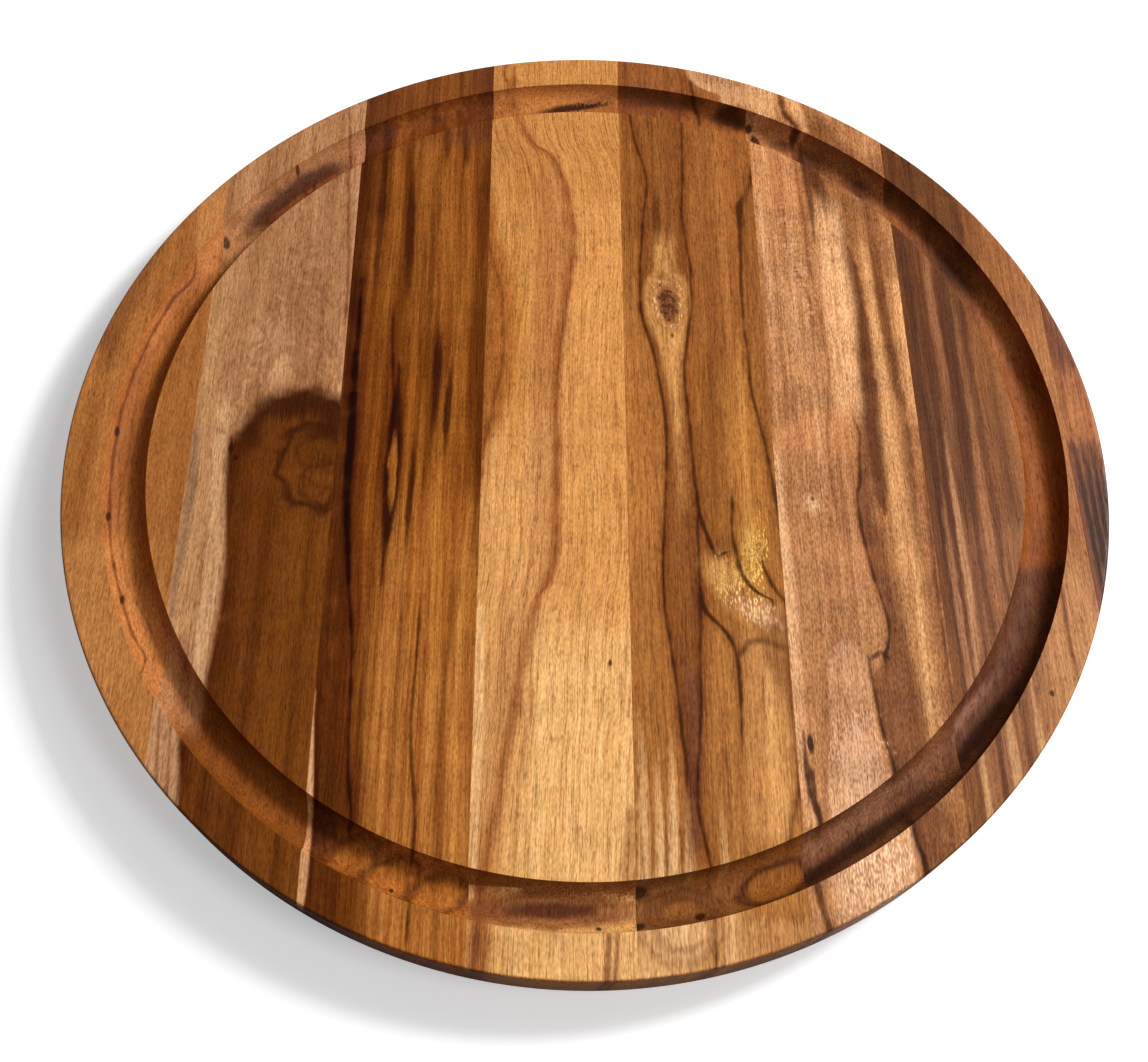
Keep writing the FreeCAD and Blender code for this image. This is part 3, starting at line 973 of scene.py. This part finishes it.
band(wood, [(-84, 49, 62), (-105, 49, 63), (-125, 49, 62)], (212, 154, 92), 3.0, 2.0, 0.7)
# Paler towards the near end, in a band and in streaks: partly lighter wood, partly a painted sheen
band(wood, [(-160, 10, 44), (-178, 10, 46)], (222, 168, 106), 5.0, 2.0, 0.8, fade=22.0)
for x, top, width in (
    (16.1, -112, 3.4), (21.1, -124, 3.0), (25.6, -118, 3.0), (30.1, -134, 2.6), (40.1, -138, 2.6),
):
    flame(wood, x, top, -200, width, (234, 184, 126), 0.75)
band(wood, [(0, 37, 46), (-20, 37, 47), (-38, 38, 47)], (140, 84, 38), 3.0, 2.0, 0.65, fade=14.0)
band(wood, [(-95, 29.5, 35), (-112, 29, 35), (-128, 29.5, 34)], (112, 70, 50), 2.0, 1.6, 0.7)
flame(wood, 27.0, 104, 87, 2.6, (84, 48, 24), 0.7)
for x, top, foot, width, shade, share in (
    (16.5, 140, 40, 2.4, (112, 64, 30), 0.45),
    (33.5, 140, 90, 2.4, (152, 96, 50), 0.5),
    (51.5, 140, 20, 2.6, (172, 110, 60), 0.45),
    (54.5, 40, -20, 1.8, (206, 146, 78), 0.5),
    (56.0, -86, -130, 1.8, (226, 172, 108), 0.5),
    (42.0, -90, -140, 1.8, (150, 94, 46), 0.45),
):
    flame(wood, x, top, foot, width, shade, share)
band(
    wood, [(74, 26, 33), (68, 22.5, 37.5), (60, 21.5, 38.5), (50, 22.5, 37.5), (42, 25.5, 35.5),
    (30, 28, 34), (16, 30.5, 33)], (208, 152, 88), 1.8, 1.2, 0.85,
)
ring(wood, (30.5, 60), (7.0, 14), (164, 106, 56), 0, 1.2, 0.8, 0.5, 0.45, (1.0, 0.8))
blot(wood, (30.5, 60), (4.6, 9.5), (172, 112, 68), 0, 0.4, 0.7, 0.75)
speckle(wood, (30, 59), (7, 14), (230, 184, 134), 0, 0.35, 0.5, 0.6)
blot(wood, (30.3, 59), (2.8, 7), (118, 66, 40), 0, 0.5, 0.9, 0.75)
speckle(wood, (30.3, 59.5), (4.0, 9.5), (74, 39, 24), 0, 0.7, 0.6, 0.85)
blot(wood, (31, 44), (0.8, 1.1), (72, 38, 20), 0, 0.5, 0.6, 0.75)
vein(wood, LINE_A, (58, 30, 14), 1.0, 0.6, 1.0, 0.85, halo=4.0, stain=0.5)
vein(wood, LINE_B, (58, 30, 14), 1.0, 0.6, 1.0, 0.85, halo=4.0, stain=0.5)
vein(
    wood, [(-24, 37, 1.0), (-31, 38, 1.6), (-37, 40, 2.0), (-42, 41.6, 1.6), (-45, 42.4, 0.8)],
    (50, 25, 12), 1.4, 0.6, 1.2, 0.9, halo=3.0, taper=2.0,
)
blot(wood, (43.8, -43), (2.8, 0.6), (52, 26, 12), 22, 0.4, 0.5, 0.85)
vein(
    wood, [(120, 64.5, 1.6), (117, 64, 2.0), (108, 61, 2.4), (103, 58.5, 2.8), (95, 58, 1.8),
    (80, 57.5, 1.2), (65, 57, 1.0), (50, 57, 1.0), (35, 58, 1.0), (20, 58.5, 1.1), (10, 60, 1.1),
    (0, 61.5, 1.1), (-10, 62.5, 1.2), (-25, 63.8, 1.6)], (64, 35, 18), 1.2, 0.7, 0.9, 0.9, halo=4.0,
)
band(wood, [(100, 60, 68), (60, 59.5, 68), (20, 61, 68)], (146, 92, 48), 1.6, 1.0, 0.6)
# The bright swirl: golden curled grain with dark specks, between lines that bend round it.
# Its shine is painted: a pale highlight and bright glints
blot(wood, (51, -59), (6.6, 18), (200, 144, 78), 40, 0.4, 0.3, 0.85)
blot(wood, (57, -65), (3.8, 9), (226, 174, 126), 48, 0.6, 0.6, 0.75)
ring(wood, (55, -64), (4.4, 11), (156, 98, 56), 48, 1.2, 1.3, 0.7, 0.45, (1.0, 0.55))
blot(wood, (54.5, -44), (4.6, 14), (206, 146, 62), -6, 0.5, 0.6, 0.7)
speckle(wood, (54.5, -44), (5.5, 17), (250, 208, 116), -6, 0.6, 0.5, 0.8)
speckle(wood, (53.5, -40), (6, 18), (128, 80, 32), -6, 0.3, 0.5, 0.6)
speckle(wood, (45, -51), (6, 9), (240, 194, 116), 20, 0.55, 0.5, 0.75)
speckle(wood, (43.5, -49), (6, 9), (128, 80, 36), 20, 0.35, 0.6, 0.6)
speckle(wood, (54, -63), (5, 11), (246, 206, 160), 48, 0.4, 0.6, 0.55)
vein(
    wood, [(-22, 49, 0.8), (-35, 48.5, 1.4), (-42, 49.3, 1.8), (-48, 50.4, 2.0), (-53, 52.4, 1.8),
    (-57, 56, 1.6), (-60, 60, 1.4)], (62, 33, 13), 1.4, 0.6, 1.0, 0.9, halo=3.0, taper=2.0,
)
vein(
    wood, [(-44, 57.5, 0.8), (-52, 59.5, 1.4), (-57, 62, 1.8), (-61, 64.5, 2.0)], (64, 33, 14), 1.2, 0.6,
    0.8, 0.85, halo=3.0, taper=2.0,
)
vein(
    wood, [(-58, 36.8, 1.6), (-63, 38, 2.0), (-66, 40.5, 1.8), (-69, 43, 1.6), (-73, 45.5, 1.6),
    (-80, 47.3, 1.3), (-92, 47.6, 1.2), (-106, 47.4, 0.6)], (54, 29, 16), 1.4, 0.7, 0.9, 0.9, halo=4.0,
    taper=3.0,
)
for middle, length, turn, share in (
    ((49.6, -76.4), 3.4, 52, 0.75),
    ((54.0, -73.4), 3.6, 8, 0.65),
    ((60.5, -75.0), 4.6, -22, 0.6),
):
    blot(wood, middle, (length, 1.1), (76, 41, 22), turn, 0.9, 0.2, share)
band(wood, [(-78, 56, 68), (-86, 59, 68), (-102, 62.5, 68)], (122, 72, 38), 2.4, 1.6, 0.6)
vein(wood, [(-118, 64), (-126, 62.8), (-133, 61), (-141, 60)], (96, 54, 30), 1.6, 0.8, 1.0, 0.75)
# Painted shade: the near groove darkened here
band(wood, [(-136, 10, 68), (-170, 10, 68)], (128, 78, 36), 4.0, 1.0, 0.85, where="groove", fade=6.0)
blot(wood, (28, -157), (13, 5.5), (150, 98, 48), 0, 0.4, 0.4, 0.6, where="groove")
ring(wood, (27, -157), (12, 6.0), (84, 48, 22), 8, 1.4, 1.5, 0.4, 0.55, (1.0, 0.6), where="groove")
for place, size in (((15, -152), (3.0, 1.6)), ((33, -159), (1.5, 1.1)), ((15, -162), (2.0, 1.0))):
    blot(wood, place, size, (40, 21, 12), 20, 0.45, 0.5, 0.85, where="groove")
blot(wood, (56, -149), (11, 4.6), (156, 100, 42), 24, 0.3, 0.3, 0.75, where="groove")
ring(wood, (56, -149), (11.5, 5.2), (66, 35, 15), 24, 1.2, 1.2, 0.2, 0.75, where="groove")
blot(wood, (27, -166), (7.5, 7.0), (230, 182, 130), 0, 0.5, 0.3, 0.75, where="face")
ring(wood, (27, -162), (8.5, 8.0), (156, 102, 62), 0, 1.4, 1.6, 0.3, 0.5, (1.0, 1.4), where="face")
band(wood, [(-164, 41, 64), (-178, 41, 64)], (206, 150, 92), 3.0, 1.5, 0.7, where="face", fade=6.0)
blot(wood, (27, 160.2), (18, 2.5), (54, 29, 19), -9, 0.5, 0.2, 0.95, where="groove")
blot(wood, (59, 150.5), (7.5, 3.4), (52, 28, 18), -24, 0.4, 0.5, 0.85, where="groove")
vein(wood, [(166, 42.5, 1.0), (158, 43.5, 1.4), (151, 47, 1.2)], (58, 30, 20), 1.2, 0.7, 1.0, 0.8)
band(
    wood, [(178, 39, 60), (170, 41, 66), (163, 46, 68), (158, 54, 68)], (212, 160, 116), 1.4, 2.0, 0.85,
    where="face",
)
speckle(wood, (54, 168), (11, 6), (132, 80, 50), -25, 0.6, 0.7, 0.7, where="face")
band(wood, [(178, 12, 38), (165, 12, 40)], (146, 88, 52), 2.0, 1.0, 0.6)
finish_stave(5, wood, growth=0.5, fibre=1.15, vessels=0.5, pores=0.5)

# Stave 6: pinkish-brown wood with cross ripples above, their shine painted as light strokes, a ragged
# border between pale and dark wood down its middle, soft dark bands on its right, and a pale tongue
# at the lower end, with painted glints.
wood = start_wood(6, (196, 140, 92), (176, 120, 76), lean=0.16)
band(
    wood, [(150, 86, 90), (120, 84, 106), (80, 97, 112), (20, 96, 110), (5, 95, 118), (-30, 92, 118),
    (-70, 97, 118), (-90, 90.5, 118), (-103, 91.5, 118), (-115, 93.5, 118), (-135, 97, 118),
    (-160, 100, 118)], (156, 102, 58), 2.4, 1.2, 0.75,
)
band(
    wood, [(12, 93.4, 100), (3, 94.5, 101), (-5, 93.5, 100), (-15, 93, 99), (-28, 91.6, 97),
    (-40, 92.6, 99), (-50, 94, 100), (-60, 96, 101), (-68, 97, 102), (-76, 96, 102), (-83, 92, 106),
    (-90, 90, 110), (-103, 91.5, 112), (-118, 93.8, 110), (-135, 97, 110), (-150, 100, 112)],
    (116, 72, 42), 2.2, 1.4, 0.85,
)
band(wood, [(134, 83, 100), (112, 85, 104), (96, 90, 104)], (128, 78, 42), 2.5, 1.5, 0.7)
vein(
    wood, [(10, 93), (3, 94.5), (-5, 93.5), (-15, 93), (-22, 91.5), (-28, 91.5), (-40, 92.5), (-50, 94),
    (-60, 96), (-68, 97), (-75, 96), (-79, 94.5)], (64, 36, 21), 1.2, 0.6, 0.9, 0.9, halo=4.0, taper=2.0,
)
vein(
    wood, [(-79.5, 89.4, 1.2), (-84, 89.4, 1.4), (-90, 90, 1.2), (-103, 91.5, 1.2), (-115, 93.5, 1.4),
    (-135, 97, 1.6), (-146, 99.5, 1.6)], (58, 32, 19), 1.2, 0.6, 0.8, 0.9, halo=4.0, taper=2.0,
)
blot(wood, (94.8, -78.4), (1.8, 0.9), (62, 35, 21), -48, 0.7, 0.1, 0.8)
blot(wood, (91.6, -78.4), (2.0, 0.9), (62, 35, 21), 36, 0.7, 0.1, 0.8)
vein(
    wood, [(134, 86, 1.5), (120, 88, 3.4), (100, 93, 4.2), (80, 97, 4.4), (60, 99.5, 4.6),
    (20, 99.5, 6.0), (5, 100, 6.4), (-20, 100, 5.0)], (98, 58, 32), 3.6, 0.9, 1.0, 0.95,
)
vein(
    wood, [(112, 88.5, 1.4), (100, 91.2, 1.6), (80, 95.2, 1.8), (60, 97.4, 1.8), (20, 97.2, 2.0),
    (6, 97.4, 1.6)], (84, 48, 26), 1.6, 0.7, 0.9, 0.75,
)
vein(
    wood, [(122, 104, 3.0), (90, 107, 3.6), (60, 108, 3.6), (30, 109, 3.6), (0, 110, 3.6),
    (-40, 109, 2.8)], (106, 63, 34), 3.2, 0.9, 1.0, 0.9,
)
band(
    wood, [(98, 101.8, 105), (60, 102.5, 106), (10, 103.5, 107.5), (-30, 103, 106.5)], (208, 154, 102),
    1.8, 1.0, 0.75, fade=30.0,
)
band(
    wood, [(96, 112.0, 118), (70, 112.2, 118), (40, 113.0, 118), (12, 114, 118)], (222, 164, 108), 0.8,
    0.6, 0.85,
)
band(wood, [(0, 102.5, 109), (-60, 103, 110), (-110, 105, 112)], (204, 150, 96), 2.4, 1.6, 0.8, fade=30.0)
band(wood, [(84, 86.5, 96.5), (60, 86, 97.5), (32, 86, 96.5)], (226, 172, 122), 2.4, 1.4, 0.85, fade=40.0)
band(wood, [(128, 83.5, 87), (110, 84, 86.8), (90, 85, 86)], (88, 52, 32), 0.9, 1.0, 0.85)
vein(
    wood, [(128, 81), (110, 82), (95, 82.5), (80, 82.5), (65, 84), (50, 84.5), (35, 85.5), (15, 84.5),
    (0, 83), (-30, 84)], (134, 84, 54), 0.9, 0.7, 1.8, 0.7,
)
vein(
    wood, [(92, 75), (80, 76), (72, 78), (66, 80), (60, 81.5), (52, 82)], (126, 78, 48), 0.9, 0.6, 1.4,
    0.75,
)
vein(
    wood, [(72, 65.5), (50, 66.5), (40, 68), (30, 70), (20, 72), (5, 73.5), (-20, 76)], (150, 98, 66),
    0.8, 0.7, 1.6, 0.6,
)
for x, top, foot, width, shade, share in (
    (66.8, 100, 30, 1.2, (216, 164, 122), 0.55),
    (70.2, 90, 10, 1.0, (146, 96, 64), 0.5),
    (76.0, 96, 34, 1.2, (220, 168, 124), 0.5),
    (81.0, 60, 10, 1.0, (142, 92, 60), 0.5),
    (79.5, 60, -40, 2.2, (212, 158, 112), 0.5),
    (86.5, 0, -70, 1.2, (146, 94, 60), 0.5),
    (89.5, -20, -70, 1.2, (206, 154, 110), 0.5),
    (107.0, -30, -100, 1.4, (222, 168, 112), 0.5),
    (112.0, -20, -120, 1.6, (146, 94, 60), 0.5),
):
    flame(wood, x, top, foot, width, shade, share)
band(
    wood, [(-12, 62, 66.5), (-60, 62, 68), (-110, 62, 67.5), (-133, 66, 69)], (226, 174, 126), 1.0, 0.9,
    0.75, fade=20.0,
)
blot(wood, (75, -24), (3.2, 3.6), (226, 178, 132), 0, 0.5, 0.9, 0.7)
# The ripples' shine painted as light strokes across the grain, with darker strokes between
speckle(wood, (77, 66), (8, 42), (224, 176, 130), 0, 0.4, 0.6, 0.4, field="Ripple")
speckle(wood, (74, 40), (9, 50), (152, 102, 68), 0, 0.3, 0.6, 0.35, field="Ripple")
band(
    wood, [(-72, 81, 83), (-75, 78, 86), (-80, 76.5, 88), (-90, 75.5, 89), (-105, 74.5, 90),
    (-120, 72.5, 91), (-135, 72, 94)], (202, 150, 110), 1.6, 1.4, 0.8, fade=3.0,
)
vein(
    wood, [(-72, 81.6, 2.0), (-74, 78.6, 1.4), (-80, 76, 0.9), (-92, 75, 0.9), (-110, 73.6, 0.9),
    (-128, 71.5, 0.9)], (150, 98, 68), 0.9, 0.6, 1.2, 0.55, taper=2.0,
)
band(
    wood, [(-101, 80.5, 84), (-106, 78.5, 87), (-116, 77, 89), (-132, 75, 93)], (216, 166, 126), 1.8, 2.0,
    0.7, fade=4.0,
)
# Painted glints over the pale tongue: bright flecks, with darker flecks of its grain
speckle(wood, (83, -116), (10, 22), (240, 198, 158), 4, 0.5, 0.5, 0.5)
speckle(wood, (84, -118), (11, 24), (160, 106, 78), 4, 0.3, 0.5, 0.45)
blot(wood, (68.5, -107.5), (1.1, 3.0), (44, 22, 14), 6, 0.35, 0.5, 0.9)
vein(
    wood, [(-112, 66.6, 1.6), (-118, 67.4, 3.0), (-125, 68.0, 2.4), (-133, 69.6, 1.6)], (44, 22, 14), 1.4,
    0.6, 0.9, 0.9, halo=3.0,
)
blot(wood, (76, -22), (0.7, 1.0), (120, 66, 40), 0, 0.4, 0.3, 0.85)
vein(wood, [(-20, 114.6), (-60, 114.2), (-140, 114.4)], (70, 40, 22), 0.9, 0.8, 0.3, 0.7)
vein(
    wood, [(-142, 66, 2.0), (-155, 68, 2.2), (-168, 70, 2.0)], (78, 42, 24), 2.0, 0.7, 1.0, 0.85, halo=3.0,
)
# Paler on the near rim: partly lighter wood, partly a painted sheen
band(
    wood, [(-134, 73, 97), (-145, 72, 97), (-165, 73, 92)], (222, 172, 128), 1.6, 1.2, 0.85, where="face",
)
# Painted glints: bright flecks on the near rim
speckle(wood, (84, -146), (13, 14), (242, 202, 162), 30, 0.6, 0.5, 0.6, where="face")
band(
    wood, [(122, 97, 118), (108, 98, 118), (96, 99, 118), (76, 108, 118)], (140, 90, 52), 2.0, 1.0, 0.65,
    fade=14.0,
)
# Painted shade: the near groove darkened here
band(wood, [(-96, 60, 120), (-150, 60, 120)], (112, 72, 48), 4.0, 1.0, 0.92, where="groove", fade=6.0)
# A painted highlight: a pale satin streak along the groove's inner wall
blot(wood, (84, -127.5), (30, 1.6), (146, 106, 82), 35, 0.9, 0.3, 0.75, where="groove")
# Painted shade on the groove's outer wall
blot(wood, (82, -137.5), (34, 2.4), (50, 27, 14), 33, 0.6, 0.3, 0.92, where="groove")
vein(wood, [(-133, 97.5), (-148, 100)], (60, 34, 20), 1.8, 0.7, 0.8, 0.85)
band(wood, [(166, 64, 76.5), (156, 64, 76), (148, 68, 75.5)], (214, 162, 112), 0.9, 0.6, 0.85, fade=3.0)
band(wood, [(162, 79.5, 83), (150, 82, 86.5), (141, 85, 87.5)], (216, 164, 114), 0.9, 0.6, 0.85, fade=4.0)
vein(wood, [(165, 78), (150, 79), (141, 83)], (62, 35, 20), 2.4, 0.9, 0.9, 0.85)
band(
    wood, [(155, 87, 92), (140, 89, 98), (130, 94, 104)], (120, 74, 44), 2.0, 1.5, 0.6, where="face",
    fade=8.0,
)
blot(wood, (66, 146), (1.5, 1.8), (44, 22, 12), 0, 0.35, 0.4, 0.9)
blot(wood, (68.5, 140), (1.8, 4.0), (36, 18, 10), 8, 0.3, 0.5, 0.9, where="groove")
band(wood, [(150, 84, 96), (140, 86, 110), (112, 96, 118)], (144, 92, 52), 2.0, 1.5, 0.7, where="groove")
for place, size, turn in (
    ((90, 129.5), (7, 3.4), -38),
    ((107, 116), (7, 3.6), -44),
    ((78, 138), (5, 2.4), -30),
):
    blot(wood, place, size, (62, 34, 20), turn, 0.6, 0.6, 0.75, where="groove")
finish_stave(
    6, wood, growth=0.5, fibre=1.15, vessels=0.45, pores=0.5, shimmer=0.6, fleck=1.35,
    tint=(204, 168, 144),
)

# Stave 7: straight purple-brown stripes against the joint, and plain orange-brown wood outside
# them, which the groove's right side runs through.
wood = start_wood(7, (138, 88, 46), (110, 67, 36), lean=0.12)
band(wood, [(150, 112, 138), (90, 112, 140), (0, 112, 134), (-60, 112, 126)], (98, 58, 32), 3.0, 1.5, 0.8)
band(wood, [(-48, 120, 150), (-80, 118, 150), (-120, 118, 150)], (158, 106, 70), 6.0, 2.0, 0.6, fade=36.0)
for top, foot, x, width, shade, share in (
    (112, -20, 117.2, 2.6, (78, 45, 30), 0.6),
    (84, -16, 126.0, 2.4, (146, 98, 62), 0.5),
    (72, -8, 131.8, 2.2, (74, 43, 28), 0.55),
    (120, -130, 118.6, 1.6, (78, 46, 30), 0.7),
    (90, 5, 127.0, 1.8, (160, 110, 72), 0.7),
    (-5, -90, 124.0, 2.0, (190, 138, 96), 0.75),
    (100, -120, 121.6, 1.2, (82, 48, 30), 0.6),
    (95, -100, 130.2, 1.8, (80, 46, 28), 0.7),
    (60, -110, 134.0, 1.8, (164, 112, 72), 0.6),
    (80, -90, 137.0, 1.8, (84, 48, 30), 0.65),
    (20, -120, 127.4, 1.2, (92, 56, 36), 0.55),
    (-30, -110, 119.8, 1.4, (184, 132, 92), 0.55),
):
    flame(wood, x, top, foot, width, shade, share)
band(
    wood, [(40, 147.5, 172), (-40, 147.5, 172), (-90, 146, 170)], (180, 118, 68), 3.0, 1.5, 0.7,
    where="face",
)
band(
    wood, [(30, 140, 172), (-20, 140, 172), (-40, 140, 170)], (142, 82, 34), 3.0, 1.5, 0.8, where="groove",
)
band(wood, [(80, 126, 172), (60, 134, 172), (46, 138, 172)], (116, 68, 36), 3.0, 1.5, 0.8, where="groove")
# Painted shade: the near groove darkened here
band(
    wood, [(-52, 130, 166), (-80, 120, 160), (-100, 112, 152), (-124, 112, 140)], (92, 57, 42), 3.0, 1.5,
    0.9, where="groove", fade=14.0,
)
# A painted highlight: a pale satin streak along the groove's inner wall
blot(wood, (118, -98), (16, 1.5), (152, 114, 96), 48, 0.9, 0.3, 0.75, where="groove")
# Painted shade on the groove's outer wall
blot(wood, (124, -102), (20, 2.2), (46, 25, 15), 49, 0.6, 0.3, 0.9, where="groove")
band(wood, [(90, 146, 172), (50, 146, 172)], (162, 104, 58), 3.0, 1.5, 0.7)
blot(wood, (138, 77), (4, 10), (58, 31, 18), 32, 0.6, 0.5, 0.8, where="groove")
blot(wood, (120, 101), (4, 9), (166, 104, 56), 40, 0.7, 0.4, 0.6, where="groove")
vein(wood, [(132, 125), (105, 125)], (84, 50, 32), 1.2, 0.7, 0.8, 0.7)
vein(wood, [(112, 139.5), (88, 140.5)], (78, 44, 28), 2.6, 1.0, 0.8, 0.7)
for x, width, shade in (
    (121, 1.6, (206, 158, 104)),
    (127, 1.4, (92, 56, 34)),
    (131, 2.2, (214, 164, 112)),
    (135.5, 1.4, (100, 62, 36)),
    (140, 2.0, (206, 156, 104)),
):
    flame(wood, x, -90, -180, width, shade, 0.75, where="face")
band(wood, [(-60, 150, 172), (-100, 142, 165)], (196, 142, 92), 4.0, 2.0, 0.6, where="face")
vein(wood, [(-55, 155), (-72, 154.6), (-88, 155.4)], (110, 66, 34), 0.9, 0.6, 0.8, 0.75)
blot(wood, (146, -91), (0.8, 1.0), (60, 30, 14), 0, 0.4, 0.3, 0.85)
finish_stave(7, wood, growth=0.6, fibre=1.15, vessels=0.45, pores=0.5)

# Stave 8: the sliver that the circle leaves at the right rim, dark and rough-grained below.
wood = start_wood(8, (150, 90, 52), (118, 68, 40), lean=0.1)
band(wood, [(62, 164, 180), (40, 164, 180), (24, 164, 180)], (112, 66, 42), 2.4, 1.0, 0.8)
band(wood, [(18, 164, 180), (8, 164, 180), (2, 164, 180)], (172, 108, 60), 2.4, 1.0, 0.8)
blot(wood, (168, -3), (1.6, 1.4), (88, 44, 24), 0, 0.4, 0.4, 0.8)
band(wood, [(-4, 164, 180), (-30, 164, 180), (-66, 164, 180)], (112, 66, 40), 1.2, 1.0, 0.8)
for top, foot, x, width in (
    (-6, -64, 168.2, 1.2), (-10, -58, 170.8, 1.4), (-8, -48, 173.4, 1.2), (-14, -40, 175.8, 1.2),
):
    flame(wood, x, top, foot, width, (38, 22, 17), 0.85)
finish_stave(8, wood, growth=0.6, fibre=1.15, vessels=0.6)

# The panel itself has been told apart and isn't a piece
bpy.data.objects.remove(panel)

# The floor: pale and matt. It takes the board's shadow, and the camera sees it as white.
bpy.ops.object.select_all(action="DESELECT")
bpy.ops.mesh.primitive_plane_add(size=12.0, location=(0, 0, 0))
floor = bpy.context.object
floor.name = floor.data.name = "floor"
paint = bpy.data.materials.new("matt_white_floor")
paint.use_nodes = True
shader = paint.node_tree.nodes["Principled BSDF"]
shader.inputs["Roughness"].default_value = 0.9
shader.inputs["Specular IOR Level"].default_value = 0.0
shader.inputs["Emission Color"].default_value = (1, 1, 1, 1)
path = paint.node_tree.nodes.new("ShaderNodeLightPath")
seen = path.outputs["Is Camera Ray"]
FLOOR_GLOW = 0.4
LIT_TONE, BOUNCED_TONE = [0.78, 0.78, 0.78, 1], [0.42, 0.42, 0.42, 1]
glow = calc(paint.node_tree, "MULTIPLY", seen, FLOOR_GLOW)
feed(paint.node_tree, shader.inputs["Emission Strength"], glow)
painted = blend_colours(paint.node_tree, seen, BOUNCED_TONE, LIT_TONE)
feed(paint.node_tree, shader.inputs["Base Color"], painted)
floor.data.materials.append(paint)

# The light: three softboxes to the right of the board. A small one and a wide one stand a little
# behind it, and the third stands nearer the camera. The room adds an even glow, and the camera
# sees it as white.
def softbox(name, place, size, power):
    """A square lamp that looks at the board's middle."""
    lamp = bpy.data.lights.new(name, "AREA")
    lamp.shape = "SQUARE"
    lamp.size = size
    lamp.energy = power
    holder = bpy.data.objects.new(name, lamp)
    bpy.context.scene.collection.objects.link(holder)
    aim = (-Vector(place)).to_track_quat("-Z", "Y").to_matrix().to_4x4()
    holder.matrix_world = Matrix.Translation(place) @ aim


softbox("key_softbox", (1.2, 0.6, 1.06), 0.26, 22.0)
softbox("wide_softbox", (1.35, 0.8, 1.15), 0.9, 14.0)
softbox("near_softbox", (0.9, -0.35, 1.2), 0.5, 6.5)

room = bpy.data.worlds.new("room")
bpy.context.scene.world = room
room.use_nodes = True
sky = room.node_tree
background = sky.nodes["Background"]
background.inputs["Color"].default_value = (1, 1, 1, 1)
path = sky.nodes.new("ShaderNodeLightPath")
ROOM_GLOW = 0.14
seen = calc(sky, "MULTIPLY_ADD", path.outputs["Is Camera Ray"], 1.0 - ROOM_GLOW, ROOM_GLOW)
feed(sky, background.inputs["Strength"], seen)

# The camera: above the near side and a little left, as the photograph was taken
CAMERA_PLACE = (-0.00963, -0.23137, 0.41632)
CAMERA_ANGLES = (-1.520, 63.629, 1.546)
FILM_WIDTH, FOCAL_LENGTH = 36.0, 41.84
azimuth, elevation, roll = (math.radians(angle) for angle in CAMERA_ANGLES)
level = math.cos(elevation)
back = Vector((math.sin(azimuth) * level, -math.cos(azimuth) * level, math.sin(elevation)))
level_right = Vector((0, 0, 1)).cross(back).normalized()
level_up = back.cross(level_right)
right = math.cos(roll) * level_right + math.sin(roll) * level_up
up = math.cos(roll) * level_up - math.sin(roll) * level_right
lens = bpy.data.cameras.new("camera")
lens.sensor_width = FILM_WIDTH
lens.lens = FOCAL_LENGTH
lens.clip_start = 0.01
camera = bpy.data.objects.new("camera", lens)
bpy.context.scene.collection.objects.link(camera)
camera.matrix_world = Matrix.Translation(CAMERA_PLACE) @ Matrix((right, up, back)).transposed().to_4x4()
bpy.context.scene.camera = camera
bpy.context.scene.view_settings.view_transform = "Standard"
